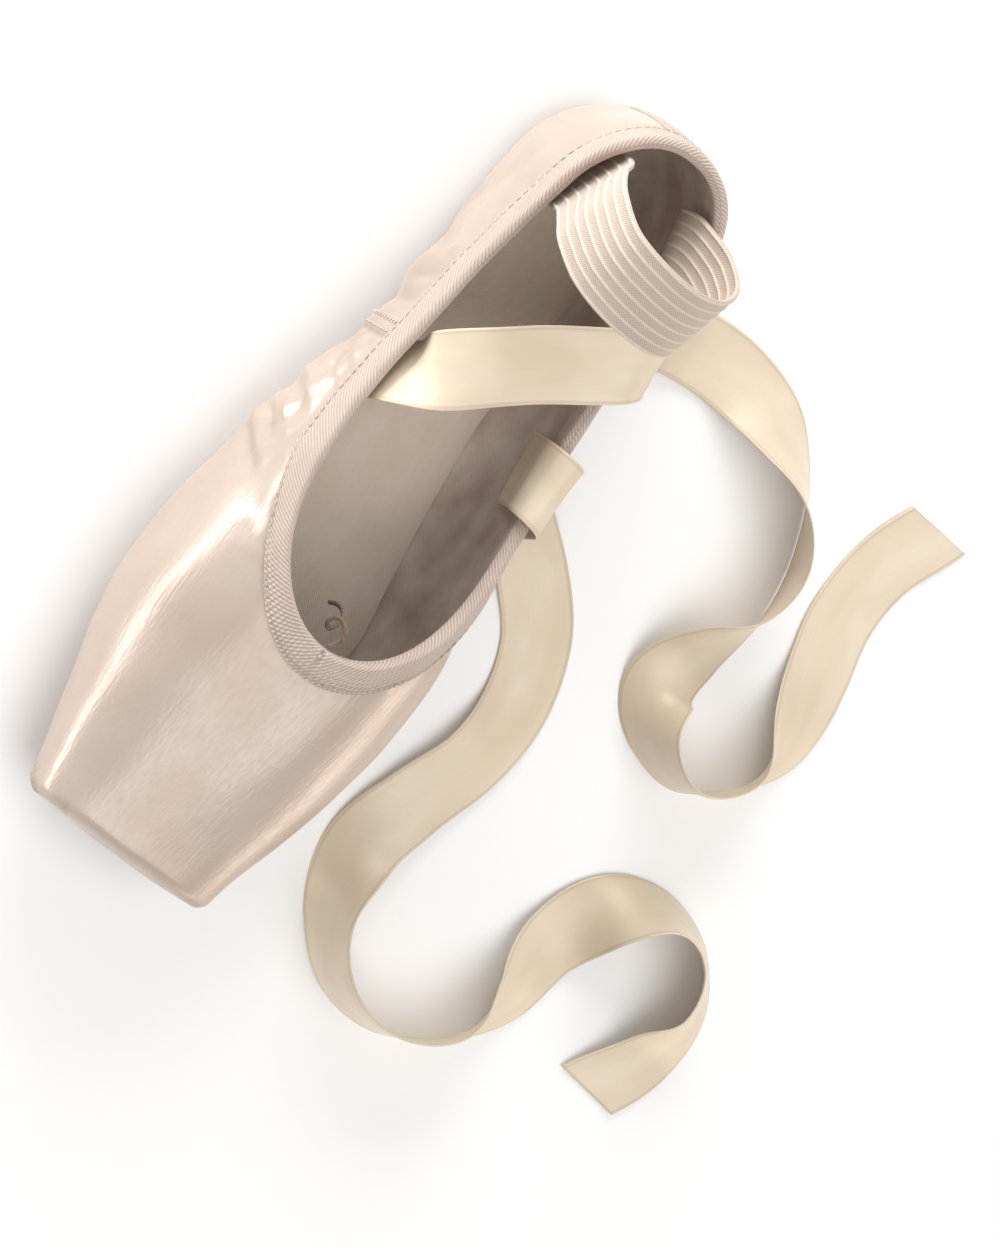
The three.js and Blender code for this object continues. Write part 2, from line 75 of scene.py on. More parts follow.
lastTable = {
    "station": [0, 30, 46, 66, 90, 118, 146, 164, 182, 200, 220, 236, 248],
    "halfWidth": [25.6, 26.2, 27.2, 28.8, 31.4, 36.6, 42.6, 45, 45.3, 43, 38.2, 33.6, 31],
    "widestAt": [22, 21, 20.5, 20, 19.5, 19, 18.5, 18.8, 19.5, 21, 23, 24.6, 25.6],
    "bottom": [2.5, 2.5, 2.5, 3.9, 5.6, 4.6, 2.5, 2.5, 2.5, 3.6, 6.3, 8.9, 10.4],
    "flat": [12, 20, 20, 18.5, 18, 21.5, 27.5, 30.5, 30, 26.5, 19.5, 14.5, 12],
    "top": [84, 82, 79, 74.5, 68, 61.5, 57, 55.3, 52.3, 48.6, 43.9, 40.2, 37.8],
    "wall": [1.8, 1.8, 1.8, 1.8, 1.8, 2, 2.4, 2.8, 3, 3, 3, 3, 3],
}
collarTable = {
    "station": [0, 12, 28, 48, 70, 92, 112, 130],
    "height": [53.5, 51.2, 46.2, 41.4, 38.8, 38.8, 41.2, 44.9],
}
soleTable = {
    "station": [12, 30, 58, 84, 104, 126, 148, 168, 188, 202, 215],
    "half": [18, 18.6, 17, 15.6, 17.4, 21.4, 26.2, 27.8, 26.6, 23.8, 20.5],
}


# Cubic through a table's points; each slope is the harmonic mean of the two beside it,
# so the curve never overshoots.
def tableCurve(at, values):
    at, values = np.array(at, float), np.array(values, float)
    span = np.diff(at)
    rise = np.diff(values) / span
    product = rise[:-1] * rise[1:]
    total = np.where(product > 0, rise[:-1] + rise[1:], 1)
    slope = np.concatenate([rise[:1], np.where(product > 0, 2 * product / total, 0), rise[-1:]])

    def curve(x):
        x = np.clip(x, at[0], at[-1])
        i = np.clip(np.searchsorted(at, x) - 1, 0, len(at) - 2)
        t = (x - at[i]) / span[i]
        return ((2 * t**3 - 3 * t**2 + 1) * values[i] + (t**3 - 2 * t**2 + t) * span[i] * slope[i]
                + (3 * t**2 - 2 * t**3) * values[i + 1] + (t**3 - t**2) * span[i] * slope[i + 1])

    return curve


last = {name: tableCurve(lastTable["station"], values)
        for name, values in lastTable.items() if name != "station"}
collarHeight = tableCurve(collarTable["station"], collarTable["height"])
soleWidth = tableCurve(soleTable["station"], soleTable["half"])


# Quarter circle that goes from 0 at the end to 1 at radius from it.
def roundEnd(distance, radius):
    t = np.clip(distance / radius, 0, 1)
    return np.sqrt(1 - (1 - t) ** 2)


# From 0 at low to 1 at high, by three t squared less two t cubed.
def smoothStep(low, high, value):
    t = np.clip((value - low) / (high - low), 0, 1)
    return t * t * (3 - 2 * t)


# Bell curve: e to the minus square of value over width, which is 1 where value is 0.
def bell(value, width):
    return np.exp(-((value / width) ** 2))


# One section of the last: the table closed to a round heel and eased at the tip.
def sectionAt(x, offset=0.0):
    close = roundEnd(x, shoe["heelRound"])
    closeUnder = roundEnd(x, shoe["heelUnderRound"])
    tip = shoe["tipRound"] * (1 - roundEnd(shoe["length"] - x, shoe["tipRound"]))
    bulge = shoe["heelBulge"]
    blend = np.minimum(x / shoe["heelRound"], 1)
    widestAt = bulge * (1 - blend) + last["widestAt"](x) * blend
    under = bulge - (bulge - last["bottom"](x)) * closeUnder
    return {
        "half": np.maximum(last["halfWidth"](x) * close - tip + offset, 0),
        "flat": np.maximum(last["flat"](x) * close - tip, 0),
        "widestAt": widestAt,
        "top": widestAt + (last["top"](x) - widestAt) * close - tip + offset,
        "bottom": np.where(x < shoe["heelUnderRound"], under, last["bottom"](x) + tip) - offset,
    }


# Point of the last: share runs from 0, bottom middle, to 1, top middle. The first part is
# the flat bottom, then two superellipse quarters meet at the widest height.
def lastPoint(x, share, offset=0.0):
    s = sectionAt(x, offset)
    flatEnd, lowerEnd = shoe["flatShare"], shoe["lowerShare"]
    lower = np.clip((share - flatEnd) / (lowerEnd - flatEnd), 0, 1) * math.pi / 2
    upper = np.clip((share - lowerEnd) / (1 - lowerEnd), 0, 1) * math.pi / 2
    low, high = 2 / shoe["lowerPower"], 2 / shoe["upperPower"]
    y = np.where(share <= flatEnd, s["flat"] * share / flatEnd,
                 np.where(share <= lowerEnd,
                          s["flat"] + (s["half"] - s["flat"]) * np.sin(lower) ** low,
                          s["half"] * np.maximum(np.cos(upper), 0) ** high))
    z = np.where(share <= lowerEnd,
                 s["widestAt"] - (s["widestAt"] - s["bottom"]) * np.maximum(np.cos(lower), 0) ** low,
                 s["widestAt"] + (s["top"] - s["widestAt"]) * np.sin(upper) ** high)
    along = x + offset * (2 * x / shoe["length"] - 1) + 0 * share
    return np.stack([along, y, z], -1)


# Superellipse quarter above the widest height: the share of one half axis that goes with
# a share of the other, so that their powers add up to 1.
def upperQuarter(share):
    return (1 - share ** shoe["upperPower"]) ** (1 / shoe["upperPower"])


# Half width of the upper half at a height.
def surfaceHalf(x, z):
    s = sectionAt(x)
    return s["half"] * upperQuarter(
        np.clip((z - s["widestAt"]) / np.maximum(s["top"] - s["widestAt"], 1e-6), 0, 1))


# Height of the upper half at a distance from the middle.
def surfaceHeight(x, y):
    s = sectionAt(x)
    quarter = upperQuarter(np.clip(np.abs(y) / np.maximum(s["half"], 1e-6), 0, 1))
    return s["widestAt"] + (s["top"] - s["widestAt"]) * quarter


# Outward normal of the upper half, from the slope of the superellipse's own equation.
def surfaceNormal(x, y, z):
    def level(x, y, z):
        s = sectionAt(x)
        rise = np.where(z > s["widestAt"], s["top"] - s["widestAt"], s["widestAt"] - s["bottom"])
        across = np.abs(y) / np.maximum(s["half"], 1e-3)
        up = np.abs(z - s["widestAt"]) / np.maximum(rise, 1e-3)
        return across ** shoe["upperPower"] + up ** shoe["upperPower"]

    step = 0.02
    slope = np.stack([level(x + step, y, z) - level(x - step, y, z),
                      level(x, y + step, z) - level(x, y - step, z),
                      level(x, y, z + step) - level(x, y, z - step)], -1)
    return slope / np.maximum(np.linalg.norm(slope, axis=-1, keepdims=True), 1e-12)


# Height of the opening's edge at a station, with the edge lowered by drop.
def edgeHeight(x, drop):
    return collarHeight(x) - drop * shoe["sideSlope"]


# Station where the closing heel reaches the edge's height.
def heelEdge(drop):
    x = np.linspace(0, shoe["heelRound"], 3001)
    above = sectionAt(x)["top"] - edgeHeight(x, drop)
    return float(x[np.argmax(above > 0)])


# Edge of the opening, lowered by drop: the table's height at the sides, and half an
# ellipse in plan from the throat's start on.
def collarEdge(x, drop):
    start = shoe["throatStart"]
    sideZ = edgeHeight(x, drop)
    startHalf = surfaceHalf(np.array(start), edgeHeight(np.array(start), drop))
    t = np.clip((x - start) / (shoe["throatEnd"] + drop - start), 0, 1)
    y = np.where(x <= start, surfaceHalf(x, sideZ), startHalf * np.sqrt(1 - t * t))
    return y, np.where(x <= start, sideZ, surfaceHeight(x, y))


# Half width of the outsole, drawn in by inset and rounded at both ends.
def soleHalf(x, inset):
    front = roundEnd(shoe["soleFront"] - inset - x, shoe["soleToeRound"])
    rear = roundEnd(x - shoe["soleRear"] - inset, shoe["soleHeelRound"])
    return np.maximum(soleWidth(x) - inset, 0) * front * rear


# Stations from rear to front, closer together where both ends are round.
def roundedStations(rear, front, rearRound, frontRound, counts):
    rearPart = rear + rearRound * (1 - np.cos(np.linspace(0, math.pi / 2, counts[0])))
    frontPart = front - frontRound * (1 - np.cos(np.linspace(math.pi / 2, 0, counts[2])))
    middle = np.linspace(rearPart[-1], frontPart[0], counts[1])
    return np.concatenate([rearPart[:-1], middle[:-1], frontPart])


# Mesh helpers


# From millimetres of the last to metres of the frame.
def toFrame(points):
    placed = np.array(points, float)
    placed[..., 0] += heelBack
    return placed * mm


# Quads between neighbouring points of a grid, round the columns where they close.
def gridQuads(rows, columns, first=0, closed=False, turned=False):
    i = np.arange(rows - 1)[:, None]
    j = np.arange(columns if closed else columns - 1)[None, :]
    right = (j + 1) % columns
    quads = np.stack([i * columns + j, i * columns + right,
                      (i + 1) * columns + right, (i + 1) * columns + j], -1).reshape(-1, 4) + first
    return quads[:, ::-1] if turned else quads


# Quads between an edge loop of one sheet and the same loop of another, count points on.
def rimQuads(loop, count):
    following = np.roll(loop, -1)
    return np.stack([loop, following, following + count, loop + count], -1)


# Quads that close both ends of a flat tube, from one edge of the tape to the other.
def tapeEnds(rings, columns):
    ends = [list(range(columns))[::-1], [(rings - 1) * columns + k for k in range(columns)]]
    return np.array([[end[k], end[k + 1], end[columns - 2 - k], end[columns - 1 - k]]
                     for end in ends for k in range(columns // 2 - 1)])


# One object from points in metres and faces. uv is in millimetres of cloth, one pair a
# point, marks are further numbers a point that the materials read, and slots give each
# face's material. A solid has its doubles merged and its faces turned outwards.
def makePiece(name, points, quads, materials, uv=None, marks=None, slots=None, solid=True):
    mesh = bpy.data.meshes.new(name)
    faces = quads.tolist() if isinstance(quads, np.ndarray) else quads
    mesh.from_pydata(np.asarray(points, float).reshape(-1, 3).tolist(), [], faces)
    if uv is not None:
        layer = mesh.uv_layers.new(name="cloth")
        corner = np.zeros(len(mesh.loops), int)
        mesh.loops.foreach_get("vertex_index", corner)
        layer.data.foreach_set("uv", np.asarray(uv, np.float32).reshape(-1, 2)[corner].ravel())
    for mark, values in (marks or {}).items():
        attribute = mesh.attributes.new(mark, "FLOAT", "POINT")
        attribute.data.foreach_set("value", np.asarray(values, np.float32).ravel())
    for material in materials:
        mesh.materials.append(material)
    if slots is not None:
        mesh.polygons.foreach_set("material_index", np.asarray(slots, np.int32))
    if solid:
        work = bmesh.new()
        work.from_mesh(mesh)
        bmesh.ops.remove_doubles(work, verts=work.verts, dist=0.002 * mm)
        bmesh.ops.recalc_face_normals(work, faces=work.faces)
        work.to_mesh(mesh)
        work.free()
    mesh.polygons.foreach_set("use_smooth", np.ones(len(mesh.polygons), bool))
    mesh.update()
    piece = bpy.data.objects.new(name, mesh)
    bpy.context.scene.collection.objects.link(piece)
    return piece


# Lengths along a row of points, starting at 0.
def lengthsAlong(points, axis=0):
    steps = np.linalg.norm(np.diff(points, axis=axis), axis=-1)
    zero = np.zeros_like(np.take(steps, [0], axis=axis))
    return np.concatenate([zero, np.cumsum(steps, axis=axis)], axis=axis)


# Vectors divided by their own length.
def unit(vectors):
    return vectors / np.maximum(np.linalg.norm(vectors, axis=-1, keepdims=True), 1e-12)


# Cloth map of a grid: u down its rows and v across its columns, in millimetres.
def clothMap(u, v):
    return np.stack(np.broadcast_arrays(u[:, None], v), -1)


# Grid round a path: each ring is its centre plus offsets along the given axes.
def aroundPath(centre, axes, offsets):
    points = centre[:, None, :]
    for axis, offset in zip(axes, offsets):
        points = points + axis[:, None, :] * offset[..., None]
    return points


# Soft noise in one or two directions: seven sines whose angles, phases and lengths come
# from a seeded draw.
def softNoise(u, v, size, seed):
    waves = 7
    draw = np.random.default_rng(seed)
    angles, phases = draw.uniform(0, math.pi, waves), draw.uniform(0, 2 * math.pi, waves)
    scales = draw.uniform(0.6, 1.7, waves)
    total = 0 * (u + v)
    for angle, phase, scale in zip(angles, phases, scales):
        way = u * math.cos(angle) + v * math.sin(angle)
        total = total + np.sin(way * 2 * math.pi / (size * scale) + phase)
    return total / waves ** 0.5


print("last ready")

# Camera

view = {
    "elevation": 63.2,         # above the horizon, from the shoe's right side
    "azimuth": 4.0,            # towards the toe
    "roll": 123.8,             # the toe points down and to the left
    "distance": 1.8,
    "sensor": 36,
    "tall": 0.345,             # height of the picture at the shoe
    "across": -0.0022,         # the picture's middle, moved from the middle of what it frames
}


# Camera that looks at the middle of the frame's nodes. back points from there to the
# camera, by elevation and azimuth, and right and up are turned about it by roll.
def makeCamera():
    elevation, azimuth, roll = (math.radians(view[key]) for key in ("elevation", "azimuth", "roll"))
    back = Vector((math.sin(azimuth) * math.cos(elevation),
                   -math.cos(azimuth) * math.cos(elevation), math.sin(elevation)))
    level = Vector((0, 0, 1)).cross(back).normalized()
    upright = back.cross(level)
    right = level * math.cos(roll) + upright * math.sin(roll)
    up = upright * math.cos(roll) - level * math.sin(roll)
    corners = np.array([corner.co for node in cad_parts.values() for corner in node.data.vertices])
    spread = [corners @ np.array(axis) for axis in (right, up, back)]
    middle = [(values.min() + values.max()) / 2 for values in spread]
    target = right * (middle[0] + view["across"]) + up * middle[1] + back * middle[2]
    data = bpy.data.cameras.new("camera")
    data.sensor_width = view["sensor"]
    data.lens = view["sensor"] * view["distance"] / view["tall"]
    data.clip_start, data.clip_end = 0.1, 20
    camera = bpy.data.objects.new("camera", data)
    turn = Matrix((right, up, back)).transposed()
    camera.matrix_world = Matrix.Translation(target + back * view["distance"]) @ turn.to_4x4()
    bpy.context.scene.collection.objects.link(camera)
    bpy.context.scene.camera = camera
    print("picture", [round(float(values.max() - values.min()), 3) for values in spread])


makeCamera()

# Cords: the ribbons and the drawstring. Their routes are the frame's own, in millimetres
# from the back of the heel: a point, and for a ribbon the way that its face looks.

ribbonRoutes = {
    "ribbon_right": [
        (102, -29.9, 18, -0.16, -1, 0), (101, -28.8, 25, -0.16, -1, 0),
        (100, -26.6, 31.5, -0.2, -1, 0.1), (98, -24.2, 38.5, -0.26, -1, 0.2),
        (93.5, -20.2, 44.4, -0.16, -0.5, 0.86), (84, -9, 46, 0, -0.05, 1),
        (74, 4, 44.6, 0, 0.02, 1), (65, 17, 44.4, 0, 0.1, 1), (57.5, 28, 44.8, -0.05, 0.4, 0.92),
        (53.5, 34.2, 40.8, -0.1, 0.9, 0.5), (50.5, 36.6, 31, -0.1, 1, 0.12),
        (47, 39, 20, -0.1, 1, 0.25), (43, 45, 9, -0.1, 0.8, 0.6), (40, 56, 2.8, 0, 0.2, 1),
        (38.5, 74, 1.2, -0.05, 0, 1), (42, 93, 5.6, -0.42, 0.1, 0.9),
        (52, 111, 10.2, -0.75, 0.45, 0.42), (69, 123, 11.2, -0.3, 0.92, 0.2),
        (88, 125, 10.4, 0.2, 0.9, 0.4), (105, 118, 6, 0.2, 0.4, 0.9),
        (121, 114, 6, 0.3, -0.35, 0.9), (135, 122, 10.6, 0.75, -0.55, 0.3),
        (139, 138, 11.2, 0.98, 0.02, 0.2), (129, 152, 10.6, 0.62, 0.72, 0.3),
        (111, 158, 6, 0.05, 0.45, 0.9), (91, 155, 1.4, 0, 0.05, 1), (72, 150, 1, 0, 0, 1),
        (53, 151, 1, 0, 0, 1), (35, 158, 1, 0, 0, 1),
    ],
    "ribbon_left": [
        (98, 29.7, 18, 0.16, -1, 0), (98, 29.1, 25, 0.16, -1, 0), (98.2, 27.2, 31.5, 0.16, -1, 0.1),
        (98.5, 25.4, 38, 0.12, -1, 0.1), (98.8, 26.2, 43, 0.06, -0.8, 0.5),
        (99.2, 29.6, 45.8, 0, 0, 1), (99.8, 33.4, 44.8, 0, 0.7, 0.7),
        (100.4, 35.8, 40.6, -0.1, 1, 0.4), (101.2, 37.6, 33, -0.12, 1, 0.1),
        (102.5, 39.4, 24, -0.12, 1, 0.15), (105, 43, 13, -0.1, 0.85, 0.45),
        (110, 51, 5, 0, 0.35, 0.9), (118, 63, 1.4, 0, 0.05, 1), (131, 76, 1, 0, 0, 1),
        (149, 83, 1.2, 0, 0.02, 1), (169, 82, 3, 0, 0.1, 1), (189, 75, 3.6, 0.05, -0.1, 1),
        (209, 69, 6.6, 0.15, -0.5, 0.85), (229, 73, 10.6, 0.48, -0.82, 0.3),
        (243, 88, 11.2, 0.9, -0.4, 0.2), (245, 108, 11.2, 0.98, 0.12, 0.2),
        (235, 126, 10.6, 0.7, 0.65, 0.3), (216, 136, 6.2, 0.1, 0.5, 0.86),
        (196, 138, 3, -0.05, 0.02, 1), (178, 145, 7.6, -0.4, -0.45, 0.8),
        (169, 160, 10.8, -0.9, -0.25, 0.3), (174, 177, 10.2, -0.75, 0.55, 0.4),
        (189, 187, 8, -0.15, 0.75, 0.65), (207, 185, 3.4, 0.05, 0.25, 0.96), (224, 177, 1, 0, 0, 1),
    ],
}
drawstringRoute = [
    (169.6, 0.8, 52.6), (165.5, 2.4, 53.4), (162.6, 1.2, 53.2), (161.6, -1.6, 51.8), (163.8, -2.6, 50.2),
    (165.4, -0.6, 49.0), (162.8, 1.6, 47.4), (159.6, 2.6, 43.6), (158.6, 2.0, 39.4), (159.4, 1.2, 35.4),
]


# Centripetal Catmull-Rom curve through points, evaluated at count even shares of its spans.
def smoothRoute(points, count):
    points = np.array(points, float)
    padded = np.concatenate([[2 * points[0] - points[1]], points, [2 * points[-1] - points[-2]]])
    share = np.linspace(0, 1, count) * (len(points) - 1)
    i = np.minimum(share.astype(int), len(points) - 2)
    t = (share - i)[:, None]
    a, b, c, d = (padded[i + k] for k in range(4))
    pairs = ((a, b), (b, c), (c, d))
    gaps = [np.maximum(np.linalg.norm(q - p, axis=1), 1e-9)[:, None] ** 0.5 for p, q in pairs]
    start = ((b - a) / gaps[0] - (c - a) / (gaps[0] + gaps[1]) + (c - b) / gaps[1]) * gaps[1]
    end = ((c - b) / gaps[1] - (d - b) / (gaps[1] + gaps[2]) + (d - c) / gaps[2]) * gaps[1]
    return ((2 * t**3 - 3 * t**2 + 1) * b + (t**3 - 2 * t**2 + t) * start
            + (3 * t**2 - 2 * t**3) * c + (t**3 - t**2) * end)


# A row of points spaced evenly along its own length, with anything that goes with it.
def evenly(points, count, *others):
    along = lengthsAlong(points)
    at = np.linspace(0, along[-1], count)
    return [np.stack([np.interp(at, along, values[:, k]) for k in range(values.shape[1])], 1)
            for values in (points, *others)]


# Frame of a tape along its route: across = forward x face, out = across x forward.
def tapeFrame(route, face):
    forward = unit(np.gradient(route, axis=0))
    across = unit(np.cross(forward, face))
    return forward, across, unit(np.cross(across, forward))


# Each row averaged with its neighbours, by a bell curve that is spread rows wide.
def eased(values, spread):
    reach = int(3 * spread)
    weights = np.exp(-((np.arange(-reach, reach + 1) / spread) ** 2) / 2)
    padded = np.concatenate([np.repeat(values[:1], reach, 0), values, np.repeat(values[-1:], reach, 0)])
    return sum(weight * padded[k:k + len(values)] for k, weight in enumerate(weights / weights.sum()))


# A tape's centre points, evenly spaced, with its frame there. Its table gives points and
# the way the face looks, and the face's turns are softened over ease rows.
def tapeRoute(table, fine, rings, ease=0):
    face = unit(smoothRoute(unit(table[:, 3:]), fine))
    centre, face = evenly(smoothRoute(table[:, :3], fine), rings, face)
    return centre, *tapeFrame(centre, unit(eased(face, ease) if ease else face))


# Materials. Patterns follow each piece's own map, "cloth", whose unit is a millimetre.

colours = {                    # as light as they look on the screen, from 0 to 255
    "satin": (194, 178, 165), "satinShade": (184, 165, 150), "patch": (168, 152, 140),
    "lining": (212, 198, 186), "twill": (204, 188, 177), "twillShade": (172, 153, 140),
    "ribbon": (220, 205, 183), "ribbonShade": (207, 190, 165), "elastic": (176, 158, 145),
    "elasticRib": (218, 204, 192), "leather": (150, 122, 93), "leatherDark": (106, 78, 52),
    "burnishAndShade": (62, 42, 28), "thread": (212, 195, 178), "threadDarkAndShade": (140, 116, 100),
    "threadSole": (222, 204, 166), "cord": (138, 116, 101), "sock": (204, 190, 172),
    "floor": (246, 246, 246),
}


# A named colour as the shaders want it, linear, by the curve that screens use.
def shade(name):
    channels = np.array(colours[name]) / 255
    linear = np.where(channels <= 0.04045, channels / 12.92, ((channels + 0.055) / 1.055) ** 2.4)
    return (*linear.tolist(), 1.0)


# A material with short ways to add nodes: node gives the node itself, and the others what
# comes out of theirs.
class Look:
    def __init__(self, name):
        self.material = bpy.data.materials.new(name)
        self.material.use_nodes = True
        self.tree = self.material.node_tree
        self.tree.nodes.clear()

    def node(self, kind, inputs=None, **settings):
        made = self.tree.nodes.new("ShaderNode" + kind)
        for key, value in settings.items():
            setattr(made, key, value)
        for key, value in (inputs or {}).items():
            if isinstance(value, bpy.types.NodeSocket):
                self.tree.links.new(value, made.inputs[key])
            else:
                made.inputs[key].default_value = value
        return made

    def calc(self, operation, *values):
        return self.node("Math", dict(enumerate(values)), operation=operation).outputs[0]

    def vector(self, operation, *values):
        return self.node("VectorMath", dict(enumerate(values)), operation=operation)

    def cloth(self):
        return self.node("UVMap", uv_map="cloth").outputs[0]

    def tangent(self):
        return self.node("Tangent", direction_type="UV_MAP", uv_map="cloth").outputs[0]

    def place(self):
        return self.node("TexCoord").outputs["Object"]

    def mark(self, name):
        return self.node("Attribute", attribute_name=name).outputs["Fac"]

    # Noise whose size along and across is in the unit of at: millimetres on the cloth's
    # map, and metres on the piece's place.
    def noise(self, at, along, across, detail=2.0, rough=0.5):
        spread = self.vector("MULTIPLY", at, (1 / along, 1 / across, 1 / across)).outputs[0]
        return self.node("TexNoise", {"Vector": spread, "Scale": 1.0, "Detail": detail,
                                      "Roughness": rough}).outputs[0]

    # Even waves: a sine of the distance along a direction, in degrees.
    def waves(self, at, pitch, degrees=0.0, wander=None):
        turn = math.radians(degrees)
        way = (math.cos(turn) * 2 * math.pi / pitch, math.sin(turn) * 2 * math.pi / pitch, 0)
        along = self.vector("DOT_PRODUCT", at, way).outputs["Value"]
        if wander is not None:
            along = self.calc("ADD", along, wander)
        return self.calc("SINE", along)

    def ramp(self, value, low, high, bottom=0.0, top=1.0):
        return self.node("MapRange", {"Value": value, "From Min": low, "From Max": high,
                                      "To Min": bottom, "To Max": top}).outputs[0]

    def mix(self, share, first, second):
        return self.node("Mix", {0: share, 6: first, 7: second}, data_type="RGBA").outputs[2]

    # Bumps on top of each other, each a height, its depth in millimetres and its strength.
    def bumps(self, *layers):
        normal = {}
        for height, depth, strength in layers:
            bump = self.node("Bump", {"Height": height, "Distance": depth * mm, "Strength": strength,
                                      **normal})
            normal = {"Normal": bump.outputs[0]}
        return normal["Normal"]

    def surface(self, colour, normal, roughness, fixed):
        shader = self.node("BsdfPrincipled", {"Base Color": colour, "Normal": normal,
                                              "Roughness": roughness, **fixed})
        self.node("OutputMaterial", {"Surface": shader.outputs[0]})
        return self.material


# The toe piece sewn under the tip: from station start on, half wide at station wideFrom,
# and gain wider over each over millimetres.
toePiece = {"start": 205.0, "wideFrom": 207.0, "half": 21.0, "gain": 7.0, "over": 38.0, "share": 0.42}


# Darker colour inside the toe piece's outline, which is patchAt's. Brown lines of painted shadow run round
# the toe piece's seams and, from the line mark, along the side seam. Soil is added near the tip. at is the
# place in millimetres.
def markSatin(look, at, colour):
    x, y, _ = look.node("SeparateXYZ", {0: at}).outputs
    half = look.calc("MULTIPLY_ADD", look.calc("SUBTRACT", x, toePiece["wideFrom"] + heelBack),
                     toePiece["gain"] / toePiece["over"], toePiece["half"])
    inside = look.calc("MINIMUM", look.calc("SUBTRACT", x, toePiece["start"] + heelBack),
                       look.calc("SUBTRACT", half, look.calc("ABSOLUTE", y)))
    under = look.mark("under")
    # Darker colour inside the toe piece's outline, on the sole's side.
    colour = look.mix(look.calc("MULTIPLY", under, look.ramp(inside, -0.1, 0.3)), colour, shade("patch"))
    # Painted shadow: brown lines along the toe piece's seams and, from the line mark, along the side
    # seam's fold and stitch rows.
    seam = look.calc("MULTIPLY", under, look.ramp(look.calc("ABSOLUTE", inside), 0.5, 0.1))
    seam = look.calc("MAXIMUM", look.calc("MULTIPLY", seam, 0.8), look.mark("line"))
    colour = look.mix(look.calc("MULTIPLY", seam, 0.6), colour, shade("threadDarkAndShade"))
    soil = look.noise(look.place(), 0.006, 0.006, detail=5, rough=0.7)
    worn = look.calc("MULTIPLY", look.mark("worn"), look.ramp(soil, 0.4, 0.62, 0, 0.5))
    return look.mix(worn, colour, shade("threadDarkAndShade"))


# Satin: long fine threads along the shoe, seen where the light catches them, on a body
# that is smooth and glossy.
def makeSatin(name, marks=True):
    look = Look(name)
    at = look.vector("MULTIPLY", look.place(), (1 / mm,) * 3).outputs[0] if marks else look.cloth()
    threads = look.noise(at, 16, 0.75, detail=1)
    slubs = look.noise(at, 32, 1.5, detail=1)
    broad = look.noise(at, 34, 26)
    colour = look.mix(look.ramp(broad, 0.35, 0.65), shade("satin"), shade("satinShade"))
    colour = look.mix(look.ramp(threads, 0.35, 0.7, 0.0, 0.28), colour, shade("satinShade"))
    if marks:
        colour = markSatin(look, at, colour)
    normal = look.bumps((broad, 0.5, 0.35), (slubs, 0.09, 0.6), (threads, 0.06, 0.65))
    roughness = look.ramp(look.calc("ADD", threads, broad), 0.7, 1.3, 0.29, 0.41)
    return look.surface(colour, normal, roughness, {
        "Metallic": 0.2, "Specular IOR Level": 0.95, "Anisotropic": 0.55, "Tangent": look.tangent(),
        "Sheen Weight": 0.12, "Sheen Roughness": 0.35})


# Twill tape: raised diagonal ribs a little under a millimetre apart, each of fine threads. The valleys
# between the ribs are painted darker, as painted shade.
def makeTwill():
    look = Look("twill_tape")
    at = look.cloth()
    wander = look.calc("MULTIPLY", look.noise(at, 6, 6), 3.0)
    ribs = look.waves(at, 0.95, 48, wander)
    threads = look.waves(at, 0.42, -30)
    speck = look.noise(at, 0.5, 0.5, detail=3, rough=0.7)
    broad = look.noise(at, 22, 9)
    # Painted shade: twillShade in the valleys between the ribs and twill on their crests; after that, a
    # faint darker tone at random.
    colour = look.mix(look.ramp(ribs, -1, 0.6), shade("twillShade"), shade("twill"))
    colour = look.mix(look.ramp(broad, 0.3, 0.7, 0, 0.3), colour, shade("twillShade"))
    normal = look.bumps((ribs, 0.11, 0.8), (threads, 0.03, 0.5), (speck, 0.06, 0.5))
    return look.surface(colour, normal, look.ramp(speck, 0.3, 0.7, 0.72, 0.9), {
        "Specular IOR Level": 0.3, "Sheen Weight": 0.25, "Sheen Roughness": 0.5})


# Ribbon satin: softer than the shoe's, with cross threads and a firm line by each selvedge.
def makeRibbonSatin():
    look = Look("ribbon_satin")
    at = look.cloth()
    threads = look.noise(at, 7, 0.28)
    picks = look.waves(at, 0.34)
    broad = look.noise(at, 40, 16)
    colour = look.mix(look.ramp(broad, 0.35, 0.65), shade("ribbon"), shade("ribbonShade"))
    colour = look.mix(look.ramp(threads, 0.4, 0.7, 0, 0.3), colour, shade("ribbonShade"))
    colour = look.mix(look.calc("MULTIPLY", look.mark("selvedge"), 0.32), colour, shade("threadDarkAndShade"))
    normal = look.bumps((broad, 0.5, 0.3), (threads, 0.03, 0.5), (picks, 0.008, 0.4))
    return look.surface(colour, normal, look.ramp(threads, 0.3, 0.7, 0.4, 0.52), {
        "Metallic": 0.08, "Specular IOR Level": 0.55, "Anisotropic": 0.35, "Tangent": look.tangent(),
        "Sheen Weight": 0.2, "Sheen Roughness": 0.4})


# Ribbed elastic: a knitted net between the raised ribs that the mesh already has, with painted shade in
# the net's holes.
def makeElasticNet():
    look = Look("elastic_net")
    at = look.cloth()
    net = look.calc("MULTIPLY", look.waves(at, 0.8, 90), look.waves(at, 0.7))
    speck = look.noise(at, 0.6, 0.5)
    # Painted shade: the darker elastic colour in the net's holes and hollows, and the lighter thread
    # colour on its raised threads.
    colour = look.mix(look.ramp(net, -0.6, 0.8), shade("elastic"), shade("thread"))
    colour = look.mix(look.ramp(look.mark("rib"), 0.3, 0.8), colour, shade("elasticRib"))
    normal = look.bumps((net, 0.1, 0.7), (speck, 0.05, 0.6))
    return look.surface(colour, normal, look.ramp(speck, 0.3, 0.7, 0.6, 0.8), {
        "Specular IOR Level": 0.35, "Sheen Weight": 0.25, "Sheen Roughness": 0.5})


